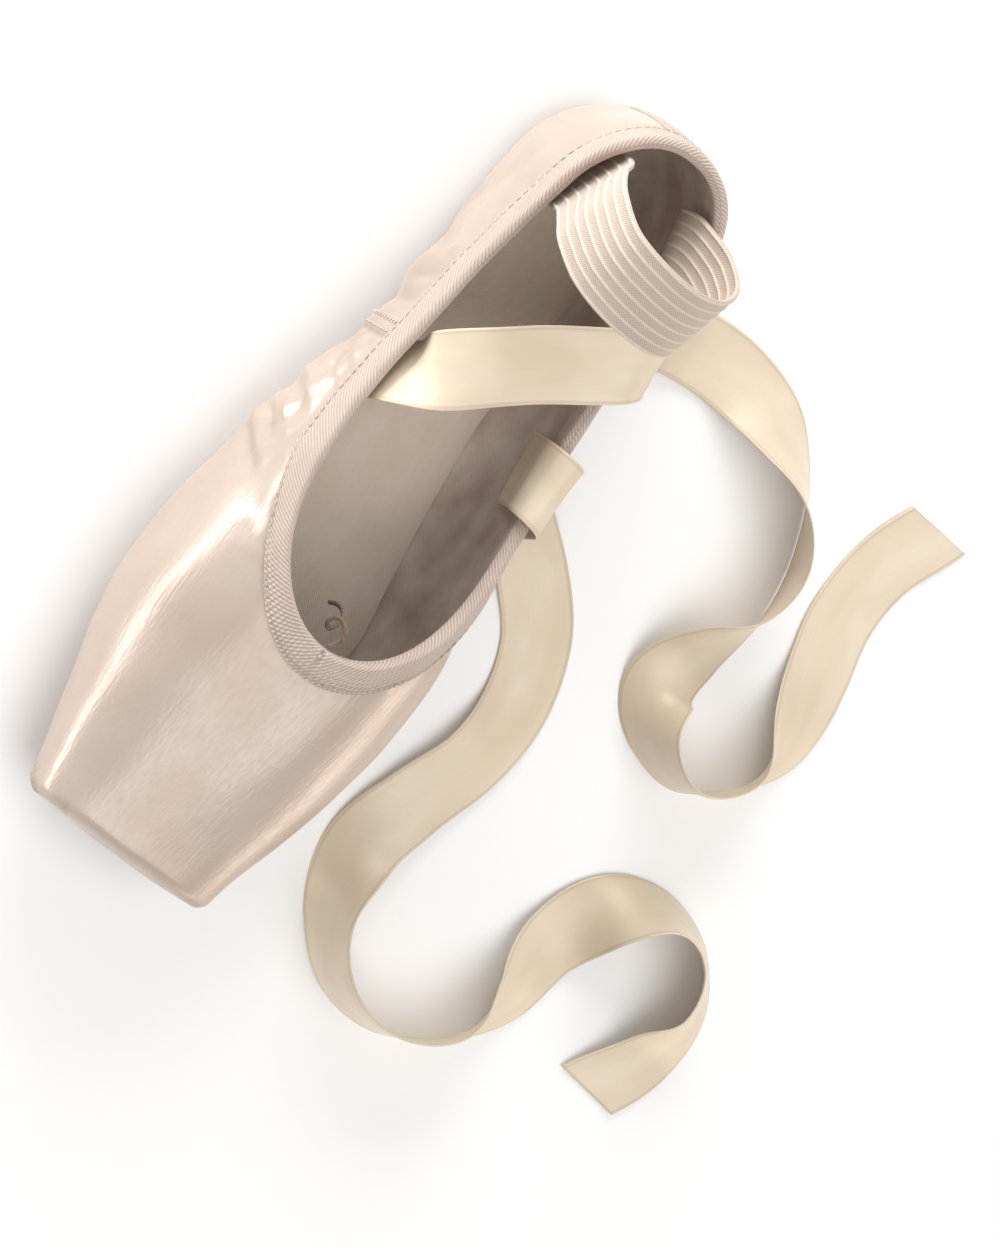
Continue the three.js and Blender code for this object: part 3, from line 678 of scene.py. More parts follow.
# Plain cotton: warp and weft as two waves, a little slubby.
def makeCotton(name, main, second, pitch=0.7):
    look = Look(name)
    at = look.cloth()
    weave = look.calc("MULTIPLY", look.waves(at, pitch), look.waves(at, pitch, 90))
    slubs = look.noise(at, 5, 0.6)
    broad = look.noise(at, 18, 12, detail=3)
    colour = look.mix(look.ramp(broad, 0.35, 0.7), shade(main), shade(second))
    colour = look.mix(look.ramp(weave, -1, 1, 0, 0.25), colour, shade(second))
    normal = look.bumps((weave, 0.08, 0.7), (slubs, 0.08, 0.4))
    return look.surface(colour, normal, look.ramp(slubs, 0.3, 0.7, 0.8, 0.94), {
        "Specular IOR Level": 0.25, "Sheen Weight": 0.2, "Sheen Roughness": 0.5})


# Sole leather: paler at the heel, burnished at the edge and in the pressed lines, with
# fine pores, brushed fibres and scuffs.
def makeSoleLeather():
    look = Look("sole_leather")
    at = look.place()
    grain = look.noise(at, 0.0011, 0.0011, detail=4, rough=0.65)
    pores = look.noise(at, 0.00035, 0.00035)
    patches = look.noise(at, 0.02, 0.012, detail=4, rough=0.6)
    scuffs = look.noise(at, 0.012, 0.0009, detail=3, rough=0.7)
    front = look.ramp(look.node("SeparateXYZ", {0: at}).outputs[0], -0.06, 0.07)
    dark = look.calc("MULTIPLY", front, look.ramp(patches, 0.3, 0.6, 0.5, 1))
    colour = look.mix(dark, shade("leather"), shade("leatherDark"))
    colour = look.mix(look.ramp(grain, 0.42, 0.7, 0, 0.45), colour, shade("leatherDark"))
    colour = look.mix(look.ramp(scuffs, 0.6, 0.78, 0, 0.5), colour, shade("leather"))
    colour = look.mix(look.mark("burnt"), colour, shade("burnishAndShade"))
    normal = look.bumps((grain, 0.12, 0.5), (pores, 0.05, 0.5), (scuffs, 0.08, 0.4))
    return look.surface(colour, normal, look.ramp(patches, 0.3, 0.7, 0.48, 0.66), {
        "Specular IOR Level": 0.4})


# Thread: a twist of fine plies, told from the piece's map, with painted shade in the grooves between the
# plies.
def makeThread(name, main, second, pitch=0.5):
    look = Look(name)
    twist = look.waves(look.cloth(), pitch, 35)
    tone = look.noise(look.place(), 0.002, 0.002)
    # Painted shade: the second colour in the twist's grooves, where its bump is low; after that, a random
    # darker tone.
    colour = look.mix(look.ramp(twist, -1, 0.4, 0.6, 0), shade(main), shade(second))
    colour = look.mix(look.ramp(tone, 0.35, 0.65, 0, 0.35), colour, shade(second))
    normal = look.bumps((twist, 0.08, 0.7))
    return look.surface(colour, normal, look.ramp(tone, 0.3, 0.7, 0.55, 0.7), {
        "Specular IOR Level": 0.4, "Sheen Weight": 0.2, "Sheen Roughness": 0.5})


# Studio floor: nearly white, with a faint wide tone and the finest of grains.
def makeFloorLook():
    look = Look("studio_floor")
    at = look.place()
    tone = look.noise(at, 0.6, 0.6)
    colour = look.mix(look.ramp(tone, 0.3, 0.7, 0, 0.08), shade("floor"), (0.8, 0.8, 0.8, 1))
    normal = look.bumps((look.noise(at, 0.001, 0.001), 0.02, 0.1))
    return look.surface(colour, normal, look.ramp(tone, 0.3, 0.7, 0.5, 0.56), {
        "Specular IOR Level": 0.2})


satin = makeSatin("shoe_satin")
stripSatin = makeSatin("strip_satin", marks=False)
ribbonSatin = makeRibbonSatin()
twill = makeTwill()
elasticNet = makeElasticNet()
lining = makeCotton("lining_drill", "lining", "twillShade")
sock = makeCotton("sock_cotton", "sock", "lining", 0.9)
soleLeather = makeSoleLeather()
# Each thread's second colour is painted shade in its twist's grooves as well as a random tone. The cord
# uses the dark burnish colour for this, which the sole leather uses as real burnish.
seamThread = makeThread("seam_thread", "thread", "threadDarkAndShade")
paleThread = makeThread("pale_thread", "elasticRib", "thread")
soleThread = makeThread("sole_thread", "threadSole", "threadDarkAndShade")
cordCotton = makeThread("cord_cotton", "cord", "burnishAndShade", 0.35)
print("materials ready")

# Floor and light

light = {                      # place, size across and up, watts, colour, what it points at
    "sideStrip": ((0.0, -0.85, 0.09), (2.0, 0.13), 7.6, (1, 0.995, 0.985), (0.02, 0.0, 0.03)),
    "heelCard": ((-0.75, -0.45, 0.35), (0.7, 0.6), 7.5, (1, 0.995, 0.99), (-0.05, 0.0, 0.03)),
    "farRim": ((0.35, 1.0, 0.12), (1.3, 0.2), 3.0, (1, 0.84, 0.7), (0.02, 0.0, 0.03)),
}
ceiling = {"way": (0.1, 0.32, 0.94), "strength": 1.45, "spread": 60.0, "colour": (1, 0.99, 0.975)}
surround = {"strength": 0.47, "colour": (1.0, 0.995, 0.99, 1)}
floorReach = 40                # metres from the middle to each side


# Lamps that point at their targets, a wide sun for the ceiling and an even world.
def makeLights():
    for name, (place, size, watts, colour, target) in light.items():
        data = bpy.data.lights.new(name, "AREA")
        data.shape = "RECTANGLE"
        data.size, data.size_y = size
        data.energy, data.color = watts, colour
        lamp = bpy.data.objects.new(name, data)
        aim = (Vector(target) - Vector(place)).to_track_quat("-Z", "Y")
        lamp.matrix_world = Matrix.Translation(place) @ aim.to_matrix().to_4x4()
        lamp.visible_camera = False
        bpy.context.scene.collection.objects.link(lamp)
    data = bpy.data.lights.new("ceiling", "SUN")
    data.energy, data.color = ceiling["strength"], ceiling["colour"]
    data.angle = math.radians(ceiling["spread"])
    lamp = bpy.data.objects.new("ceiling", data)
    lamp.matrix_world = Vector(ceiling["way"]).to_track_quat("Z", "Y").to_matrix().to_4x4()
    bpy.context.scene.collection.objects.link(lamp)
    world = bpy.data.worlds.new("studio")
    world.use_nodes = True
    background = world.node_tree.nodes["Background"]
    background.inputs[0].default_value = surround["colour"]
    background.inputs[1].default_value = surround["strength"]
    bpy.context.scene.world = world
    bpy.context.scene.view_settings.view_transform = "Standard"


# One wide square at height 0.
def makeFloor():
    corners = np.array([[-1, -1, 0], [1, -1, 0], [1, 1, 0], [-1, 1, 0]], float) * floorReach
    floor = makePiece("studio_floor", corners, np.array([[0, 1, 2, 3]]), [makeFloorLook()], solid=False)


makeLights()
makeFloor()

# Ribbons and drawstring

ribbon = {
    "width": 22.0,
    "thickness": 0.5,
    "fine": 1500,              # points of the route, before they are spaced evenly
    "rings": 420,
    "columns": 25,             # on each face
    "edgeRound": 0.35,         # width over which the edge thins
    "selvedge": 0.9,           # from the edge to the raised line
    "lineWidth": 0.22,
    "lineHeight": 0.12,
    "endSlant": 0.35,          # of the width, at the cut end
    "ripple": 0.35,            # height of the soft waves along it
    "ease": 3.5,               # rows over which its turns are softened
    "floorGap": 0.05,          # between the floor and what lies on it
    "lowest": 0.03,
    "backCloth": 60,           # how far along the map the back's cloth is cut from the face's
}


# Ribbon: rows along the route, and across it a closed loop of a face and a back. The face
# waves along its edges and has a raised line inside each selvedge, and what comes near
# the floor is set down on it.
def makeRibbon(name, node, seed):
    table = np.array(ribbonRoutes[node], float)
    centre, forward, across, out = tapeRoute(table, ribbon["fine"], ribbon["rings"], ribbon["ease"])
    along = lengthsAlong(centre)
    half = ribbon["width"] / 2
    share = np.sin(np.linspace(-math.pi / 2, math.pi / 2, ribbon["columns"]))
    w = np.concatenate([share, share[::-1]]) * half
    skin = np.repeat([1.0, -1.0], ribbon["columns"])
    body = ribbon["thickness"] / 2 * np.clip((half - np.abs(w)) / ribbon["edgeRound"], 0, 1) ** 0.5
    line = bell(half - ribbon["selvedge"] - np.abs(w), ribbon["lineWidth"])
    wave = ribbon["ripple"] * smoothStep(20, 90, along)[:, None] * (
        softNoise(along[:, None], 0.0, 34, seed) * (w / half) ** 2
        + 0.5 * softNoise(along[:, None], w[None, :], 46, seed + 1))
    lift = skin * (body + ribbon["lineHeight"] * line) + wave
    slant = ribbon["endSlant"] * w[None, :] * smoothStep(along[-1] - 26, along[-1], along)[:, None]
    points = aroundPath(centre, (across, out, forward), (w[None, :], lift, slant))
    gap = points[..., 2].min(axis=1) - ribbon["floorGap"]
    near = 1 - smoothStep(0.8, 3.0, centre[:, 2])
    drop = np.where(gap < 0, gap, np.minimum(gap, 0.4) * near)
    drop = np.minimum(eased(drop, 3.0), drop)
    points[..., 2] = np.maximum(points[..., 2] - drop[:, None], ribbon["lowest"])
    rings, columns = points.shape[:2]
    faces = np.concatenate([gridQuads(rings, columns, closed=True), tapeEnds(rings, columns)])
    uv = clothMap(along, np.where(skin > 0, w, w + ribbon["backCloth"]))
    piece = makePiece(name, toFrame(points), faces, [ribbonSatin], uv=uv,
                      marks={"selvedge": np.broadcast_to(line, (rings, columns))})
    middle = toFrame(centre)
    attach(piece, "root")
    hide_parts(node)
    print(name, round(float(along[-1]), 1), "mm")


drawstring = {
    "diameter": 1.4,
    "fine": 1200,
    "rings": 260,
    "sides": 14,
    "twist": 3.2,              # length of one turn of its two plies
    "ply": 0.16,               # depth between the plies, as a share of the radius
}


# Drawstring: a tube of two twisted plies, whose radius dips twice round each ring.
def makeDrawstring():
    centre, = evenly(smoothRoute(drawstringRoute, drawstring["fine"]), drawstring["rings"])
    forward = unit(np.gradient(centre, axis=0))
    across = unit(np.cross(forward, [0.2, 0.9, 0.4]))
    out = np.cross(across, forward)
    along = lengthsAlong(centre)
    angle = np.linspace(0, 2 * math.pi, drawstring["sides"], endpoint=False)
    turn = angle[None, :] - 2 * math.pi * along[:, None] / drawstring["twist"]
    radius = drawstring["diameter"] / 2 * (1 - drawstring["ply"] * (1 - np.abs(np.cos(turn))))
    radius *= np.minimum(1, 0.25 + roundEnd(np.minimum(along, along[-1] - along), 0.8))[:, None]
    points = aroundPath(centre, (across, out), (radius * np.cos(angle), radius * np.sin(angle)))
    rings, columns = points.shape[:2]
    quads = gridQuads(rings, columns, closed=True).tolist()
    quads += [list(range(columns)), [(rings - 1) * columns + k for k in range(columns)][::-1]]
    piece = makePiece("throat_drawstring", toFrame(points), quads, [cordCotton], uv=clothMap(along, turn))
    middle = toFrame(centre)
    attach(piece, "root")
    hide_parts("drawstring")
    print("drawstring", round(float(along[-1]), 1), "mm")


makeRibbon("right_ribbon", "ribbon_right", 71)
makeRibbon("left_ribbon", "ribbon_left", 83)
makeDrawstring()

# Upper

upper = {
    "columns": 91,             # across half of the girth, from the sole to the collar
    "rows": {"back": 15, "heel": 31, "side": 135, "throat": 47, "vamp": 76, "tip": 9},
    "coarser": 3,              # the lining has one row and column for this many of the satin's
    "seam": (88.0, 93.2),      # stations of the side seam's raised band
    "seamHeight": 0.3,
    "tuckDepth": 0.34,         # of the fold beside the seam
    "gatherHeight": 0.1,       # of the small gathers in front of it
    "gatherPitch": 4.3,
    "patchHeight": 0.25,       # of the toe piece sewn under the tip
    "crown": 1.2,              # of the flat end
    "pleatHeight": 0.28,       # of the fine folds at the tip's lower corners
    "pleatPitch": 2.3,
    "pucker": 0.16,            # beside the collar's stitches
    "softness": 0.16,          # height of the wide, faint unevenness
    "held": (6.5, 13),         # distances from the collar where the relief begins and is full
    "heelTurn": 26,            # millimetres of the cloth's map for each radian round the heel
    # creases: station and girth (mm from the middle of the sole) of both ends, width,
    # height, and the side: -1 right, 1 left, 0 both
    "creases": [
        (104, 36, 125, 43, 5.0, 1.9, -1), (125, 43, 136, 45, 4.0, 1.5, -1),
        (133, 42, 144, 66, 1.5, -1.5, -1), (131, 46, 140, 66, 2.2, 1.2, -1),
        (136, 57, 155, 82, 5.5, -1.3, -1), (117, 38, 121, 48, 2.8, -2.0, -1),
        (101, 50, 128, 53, 2.4, 1.4, -1), (110, 56, 130, 66, 2.2, -1.2, -1),
        (96, 34, 112, 48, 2.0, -1.4, -1), (104, 62, 124, 74, 2.4, 0.9, -1),
        (116, 50, 128, 58, 1.6, -0.9, -1), (98, 44, 106, 58, 1.8, 0.9, -1),
        (82, 22, 81, 60, 3.4, -1.6, -1), (74, 28, 62, 54, 4.5, 1.2, -1),
        (58, 24, 66, 46, 3.4, -1.1, -1), (40, 44, 58, 62, 5.0, -0.8, -1),
        (22, 38, 36, 60, 5.5, 1.0, -1), (70, 60, 52, 66, 3.0, -0.6, -1),
        (50, 30, 30, 44, 4.0, -0.7, -1), (85, 40, 72, 66, 1.8, 0.5, -1),
        (112, 41, 121, 60, 1.5, 1.2, -1), (107, 44, 115, 60, 1.4, -1.0, -1),
        (119, 42, 130, 62, 1.4, 1.2, -1), (124, 40, 135, 60, 1.4, -1.2, -1),
        (98, 48, 104, 62, 1.6, -0.9, -1), (126, 62, 138, 76, 2.0, 0.9, -1),
        (76, 34, 70, 56, 1.8, -0.6, -1), (66, 40, 58, 58, 2.0, 0.6, -1),
        (106, 36, 130, 44, 5.0, 1.6, 1), (130, 44, 143, 66, 1.6, -1.4, 1),
        (132, 58, 150, 80, 5.5, -1.2, 1), (113, 40, 119, 52, 2.8, -1.7, 1),
        (100, 52, 124, 55, 2.5, 1.2, 1), (106, 60, 126, 70, 2.4, -1.0, 1),
        (83, 24, 80, 58, 3.6, -1.5, 1), (70, 30, 60, 54, 4.5, 1.1, 1),
        (46, 40, 60, 60, 5.0, -0.8, 1), (54, 28, 34, 42, 4.0, -0.7, 1),
        (24, 40, 36, 58, 5.0, 0.8, 1), (110, 44, 119, 60, 1.6, 1.0, 1),
        (121, 42, 132, 60, 1.5, -1.0, 1), (126, 46, 137, 64, 1.6, 0.9, 1),
        (96, 4, 100, 34, 3.0, -0.5, 0), (84, 6, 82, 26, 2.6, -0.4, 0),
        (70, 22, 40, 26, 5.0, 0.5, 0), (150, 30, 176, 35, 3.2, -0.4, 0),
        (120, 28, 150, 34, 2.6, 0.4, 0),
    ],
}
sideSeam = {
    "crossed": 88.9,           # station of the row whose stitches lie along the shoe
    "straight": 92.2,          # and of the row whose stitches follow the seam
    "pitch": 1.75,
    "length": 1.3,
    "thick": 0.55,
}


# Height over the last, from the station, the girth and the side: soft noise, a bell across
# each crease that fades at its ends, the seam's band with a tuck beside it, and puckers by
# the collar. Near the edge, which the binding holds, hollows die away and rises keep a third.
def reliefAt(x, girth, side, edgeGap, y, z):
    total = upper["softness"] * softNoise(x + 0.8 * z, side * y, 30, 5)
    for stationA, girthA, stationB, girthB, width, height, where in upper["creases"]:
        if where not in (0, side):
            continue
        runX, runG = stationB - stationA, girthB - girthA
        t = np.clip(((x - stationA) * runX + (girth - girthA) * runG) / (runX**2 + runG**2), 0, 1)
        gap = np.hypot(x - stationA - t * runX, girth - girthA - t * runG)
        fade = 0.55 + 0.45 * np.sin(math.pi * np.clip(t, 0.02, 0.98))
        total = total + height * fade * bell(gap, width)
    rear, front = upper["seam"]
    wavy = x - 0.35 * softNoise(girth, 40 * side, 24, 11)
    band = smoothStep(rear - 0.5, rear + 0.4, wavy) * (1 - smoothStep(front - 0.5, front + 0.2, wavy))
    tuck = bell(wavy - front - 0.7, 0.7) + 0.5 * bell(wavy - rear + 0.8, 0.8)
    gather = bell(x - front - 3, 4.0) * np.sin(girth * 2 * math.pi / upper["gatherPitch"] + side)
    total = total + upper["seamHeight"] * band - upper["tuckDepth"] * tuck + upper["gatherHeight"] * gather
    pucker = np.exp(-np.clip(edgeGap - 8, 0, None) / 4.5) * softNoise(x, side * y, 6.5, 21)
    held = smoothStep(*upper["held"], edgeGap)
    total = np.where(total > 0, total * (0.35 + 0.65 * held), total * held)
    return total + upper["pucker"] * pucker * smoothStep(6, 9, edgeGap)


# How far inside the toe piece's outline a point is: a trapezoid, seen from below, that
# widens from the sole to the tip. Points higher up the shoe are far outside.
def patchAt(x, y, share):
    half = toePiece["half"] + (x - toePiece["wideFrom"]) * toePiece["gain"] / toePiece["over"]
    inside = np.minimum(x - toePiece["start"], (half - np.abs(y)) * 1.2)
    return np.where(share < toePiece["share"], inside, -9.0)


# Stations of the rows, closer together where the heel closes, round the throat and at the
# tip; rear is where the opening begins.
def upperStations(rear):
    rows, tipRound = upper["rows"], shoe["tipRound"]
    heelRound, throatStart, throatEnd = (shoe[key] for key in ("heelRound", "throatStart", "throatEnd"))
    turn = math.acos(1 - rear / heelRound)
    return np.concatenate([
        rear * np.linspace(0, 1, rows["back"])[:-1] ** 2,
        heelRound * (1 - np.cos(np.linspace(turn, math.pi / 2, rows["heel"])[:-1])),
        np.linspace(heelRound, throatStart, rows["side"])[:-1],
        throatStart + (throatEnd - throatStart) * np.sin(np.linspace(0, math.pi / 2, rows["throat"])[:-1]),
        np.linspace(throatEnd, shoe["length"] - tipRound, rows["vamp"])[:-1],
        shoe["length"] - tipRound * (1 - np.sin(np.linspace(0, math.pi / 2, rows["tip"])))])


# Share and girth of each row's columns, evenly spaced along the section from one share to
# another.
def upperColumns(x, begin, finish):
    fine = np.linspace(0, 1, 700)
    lengths = lengthsAlong(lastPoint(x[:, None], fine[None, :]), axis=1)
    share, girth = np.zeros((2, len(x), upper["columns"]))
    for i in range(len(x)):
        low, high = np.interp([begin[i], finish[i]], fine, lengths[i])
        girth[i] = np.linspace(low, high, upper["columns"])
        share[i] = np.interp(girth[i], lengths[i], fine)
    share[:, 0], share[:, -1] = begin, finish
    return share, girth


# Cloth map and marks of the satin. The map's stations turn round the heel. under is 1 on the sole's side.
# line is painted shadow along the side seam, at the fold in front of its band and under its two rows of
# stitches. worn grows towards the tip.
def satinMarks(station, share, girth, plain, side):
    heel = smoothStep(14, 30, station)       # 0 behind, where the map's height takes over
    heelRound = shoe["heelRound"]
    turned = np.arctan2(heelRound - station, np.abs(plain[..., 1]) + 1e-6)
    around = np.where(station < heelRound, heelRound - upper["heelTurn"] * turned, station)
    cloth = np.stack([around, side * (heel * girth + (1 - heel) * (plain[..., 2] + 19))], -1)
    # Painted shadow: a brown line at the fold in front of the seam's band, with fainter ones under the two
    # rows of stitches.
    line = (0.8 * bell(station - upper["seam"][1] - 0.5, 0.6)
            + 0.4 * bell(station - sideSeam["crossed"], 0.9)
            + 0.3 * bell(station - sideSeam["straight"], 0.8))
    worn = (np.exp(-np.clip(shoe["length"] + 2 - station, 0, None) / 5) * (share < 0.75)
            + 0.25 * (share < 0.3))
    return cloth, {"under": smoothStep(0.46, 0.4, share), "line": line, "worn": worn}


# Upper: a closed shell of satin outside, lining inside and strips that join the two along
# the opening and under the insole. Each side is the last's grid plus reliefAt, and the
# flat end shrinks the last row to its middle over a shallow crown.
def makeUpper():
    rear, throatEnd, length = heelEdge(0.0), shoe["throatEnd"], shoe["length"]
    x = upperStations(rear)
    rows, columns = len(x), upper["columns"]

    # where each row starts beside the sole and ends at the collar, as shares of the section
    s = sectionAt(x)
    turnedIn = soleHalf(x, shoe["seatMargin"])
    openBelow = turnedIn > 0
    begin = shoe["flatShare"] * (turnedIn + shoe["seatGap"]) / np.maximum(s["flat"], 1)
    begin = np.where(openBelow, begin, 0)
    openAbove = (x >= rear) & (x < throatEnd)
    edgeHalf = np.clip(collarEdge(x, 0.0)[0] / np.maximum(s["half"], 1e-6), 0, 1)
    finish = np.where(openAbove, 0.5 + np.arccos(edgeHalf ** (shoe["upperPower"] / 2)) / math.pi, 1)
    share, girth = upperColumns(x, begin, finish)
    station = np.broadcast_to(x[:, None], share.shape)
    plain = lastPoint(station, share)
    edgeGap = np.where(station < throatEnd, girth[:, -1:] - girth,
                       np.hypot(station - throatEnd, plain[..., 1]))

    # the lining's rows, which keep both ends of each opening
    keep = np.unique(np.concatenate([np.arange(0, rows, upper["coarser"]), [rows - 1],
                                     np.flatnonzero(np.diff(openBelow)) + 1,
                                     np.flatnonzero(np.diff(openAbove)) + 1]))
    across = np.arange(0, columns, upper["coarser"])
    points, uv, marks, faces, slots = [], [], {"under": [], "line": [], "worn": []}, [], []

    def add(block, cloth, values=None):
        first = sum(len(p) for p in points)
        points.append(block.reshape(-1, 3))
        uv.append(cloth.reshape(-1, 2))
        for key in marks:
            marks[key].append(np.broadcast_to((values or {}).get(key, 0.0), block.shape[:-1]).reshape(-1))
        return first

    def addFaces(quads, slot):
        made = quads.tolist() if isinstance(quads, np.ndarray) else quads
        faces.extend(made)
        slots.extend([slot] * len(made))

    for side in (1, -1):
        relief = reliefAt(station, girth, side, edgeGap, plain[..., 1], plain[..., 2])
        raised = smoothStep(-1.0, 1.0, patchAt(station, plain[..., 1], share))
        ease = roundEnd(length - station, 6) * smoothStep(2, 16, station)
        corner = bell(station - 246, 5) * bell(share - 0.4, 0.16)
        pleats = upper["pleatHeight"] * corner * np.sin(girth * 2 * math.pi / upper["pleatPitch"])
        outer = lastPoint(station, share, relief * ease + upper["patchHeight"] * raised + pleats)
        outer[..., 1] *= side
        cloth, values = satinMarks(station, share, girth, plain, side)
        base = add(outer, cloth, values)
        addFaces(gridQuads(rows, columns, base, turned=side < 0), 0)

        # the flat end, from the last row to its middle; its map lies apart, at 400
        rings = np.array([1, 0.985, 0.95, 0.88, 0.76, 0.6, 0.42, 0.22, 0])
        rim = outer[-1]
        middle = np.array([length, 0, (rim[0, 2] + rim[-1, 2]) / 2])
        cap = middle + (rim - middle) * rings[:, None, None]
        cap[..., 0] = length + upper["crown"] * (1 - rings[:, None] ** 2.4)
        first = add(cap, cap[..., 1:] + [400, 0], {"worn": 0.9})
        addFaces(gridQuads(len(rings), columns, first, turned=side < 0), 0)

        # the lining with its map at 900, its own flat end, and the strips to the satin
        inner = lastPoint(station[keep][:, across], share[keep][:, across],
                          -last["wall"](station[keep][:, across]))
        inner[..., 1] *= side
        second = add(inner, cloth[keep][:, across] + [0, 900])
        addFaces(gridQuads(len(keep), len(across), second, turned=side > 0), 1)
        end = inner[-1]
        hub = np.array([end[0, 0], 0, (end[0, 2] + end[-1, 2]) / 2])
        disc = hub + (end - hub) * np.array([1, 0.5, 0])[:, None, None]
        third = add(disc, disc[..., 1:])
        addFaces(gridQuads(3, len(across), third, turned=side > 0), 1)
        for column, innerColumn, isOpen in ((0, 0, openBelow), (columns - 1, len(across) - 1, openAbove)):
            for k in range(len(keep) - 1):
                low, high = keep[k], keep[k + 1]
                if isOpen[low] or isOpen[high]:
                    outerRun = [base + i * columns + column for i in range(low, high + 1)]
                    innerRun = [second + i * len(across) + innerColumn for i in (k + 1, k)]
                    addFaces([outerRun + innerRun], 1)

    piece = makePiece("satin_upper", toFrame(np.concatenate(points)), faces, [satin, lining],
                      uv=np.concatenate(uv), slots=slots,
                      marks={key: np.concatenate(values) for key, values in marks.items()})
    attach(piece, "root")
    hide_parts("upper")
    print("upper", len(piece.data.polygons), "faces")


makeUpper()

# Collar binding

binding = {
    "drop": 8.2,               # how far it reaches down the satin
    "rise": 1.5,               # of its fold above the upper's edge
    "proud": 1.0,              # over the satin
    "wall": 2.2,               # thickness of what it is folded round
    "gather": 0.16,            # ripples where it turns round the throat
    "gatherPitch": 1.5,
    "notchDepth": 1.3,         # where the tape's ends meet and let the drawstring out
    "notchWidth": 0.012,       # as a share of the throat's quarter
    "stitchDrop": 7.0,
    "stitchPitch": 2.7,
    "stitchLength": 1.9,
    "stitchThick": 0.42,
}


# Edge of the opening on the left side, from the back of the heel to the middle of the
# throat, lowered by drop; part runs from 0 to 3 over the heel, the side and the throat.
def edgeRow(part, drop):
    start = heelEdge(drop)
    heelRound, throatStart, throatEnd = (shoe[key] for key in ("heelRound", "throatStart", "throatEnd"))
    heel = start + (heelRound - start) * (1 - np.cos(np.clip(part, 0, 1) * math.pi / 2))
    side = heelRound + np.clip(part - 1, 0, 1) * (throatStart - heelRound)
    throat = throatStart + (throatEnd + drop - throatStart) * np.sin(np.clip(part - 2, 0, 1) * math.pi / 2)
    x = np.where(part <= 1, heel, np.where(part > 2, throat, side))
    y, z = collarEdge(np.minimum(x, throatEnd + drop - 1e-6), drop)
    y = np.where((part <= 0) | (part >= 3), 0, y)
    z = np.where(part <= 0, sectionAt(start)["top"], z)
    return np.stack([x, y, z], -1)


# Rows of the edge at several drops, with the surface's normal: arrays of rows x drops.
def edgeGrid(part, drops):
    rows = np.stack([edgeRow(part, drop) for drop in drops], 1)
    return rows, surfaceNormal(rows[..., 0], np.maximum(rows[..., 1], 0.02), rows[..., 2])


# Round the whole opening: the left side, then the right side back again, to the start.
def mirrorRound(values):
    other = values[::-1][1:-1].copy()
    other[..., 1] *= -1
    return np.concatenate([values, other, values[:1]])


edgeParts = np.concatenate([
    np.linspace(0, 1, 60)[:-1], np.linspace(1, 2, 180)[:-1], np.linspace(2, 3, 260)])


# The tape folded over the edge: a closed profile of an outer face, a round fold, an inner
# face and the hidden back of both, in drop down the surface and offset from it. The outer
# face ripples round the throat, dips along the stitches and has a notch in the middle.
def makeBinding():
    wall, proud, lowest = binding["wall"], binding["proud"], binding["drop"] - 0.5
    fold = np.linspace(0, math.pi, 17)[1:-1]
    lowEdge = np.linspace(0, math.pi / 2, 4)
    down = np.linspace(lowest, 0.4, 12)
    hidden = [5.0, 1.2, 0.6, 0.6, 1.2, 5.0]
    drops = np.concatenate([
        lowest + 0.5 * np.cos(lowEdge[:-1]), down, -binding["rise"] * np.sin(fold), down[::-1],
        lowest + 0.5 * np.sin(lowEdge[1:]), hidden])
    offsets = np.concatenate([
        0.12 + (proud - 0.12) * np.sin(lowEdge[:-1]), 0 * down + proud,
        -wall / 2 + (wall / 2 + proud) * np.cos(fold), 0 * down - wall - proud,
        -wall - proud + (proud - 0.1) * (1 - np.cos(lowEdge[1:])),
        [-wall - 0.1, -wall - 0.1, -wall * 0.7, -wall * 0.3, 0.1, 0.1]])
    shown = np.arange(len(drops)) < len(drops) - len(hidden)

    rows, normals = edgeGrid(edgeParts, drops)
    along = lengthsAlong(rows[:, 8])
    part = edgeParts[:, None]
    ripple = binding["gather"] * smoothStep(2.15, 2.7, part) * (0.25 + smoothStep(1.0, 7.5, drops))
    ripple = ripple * np.sin(along[:, None] * 2 * math.pi / binding["gatherPitch"]
                             + 1.2 * softNoise(along[:, None], 0, 9, 4))
    puff = 0.14 * softNoise(along[:, None], drops[None, :] * 2, 15, 8) + 0.1 * np.sin(
        math.pi * np.clip(drops / binding["drop"], 0, 1))
    stitch = -0.34 * bell(drops - binding["stitchDrop"], 0.7)
    notch = bell(part - 3, binding["notchWidth"]) * (0.5 + binding["notchDepth"] * bell(drops, 2.6))
    thicker = last["wall"](np.minimum(rows[..., 0], 180)) - wall
    outerSide = np.clip((offsets + 0.5) / 1.5, 0, 1)
    offset = np.where(offsets < -wall * 0.5, offsets - thicker, offsets)
    offset = offset + shown * outerSide * (ripple + puff + stitch - notch)

    ring = mirrorRound(rows + normals * offset[..., None])
    uRow = np.concatenate([along, 2 * along[-1] - along[::-1][1:]])
    across = np.cumsum(np.concatenate([[0], np.hypot(np.diff(drops), np.diff(offsets))]))
    rowsAll, columns = ring.shape[:2]
    piece = makePiece("twill_binding", toFrame(ring), gridQuads(rowsAll, columns, closed=True), [twill],
                      uv=clothMap(uRow, across))
    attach(piece, "root")
    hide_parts("collar_binding")
    print("binding", rowsAll, "x", columns)


makeBinding()


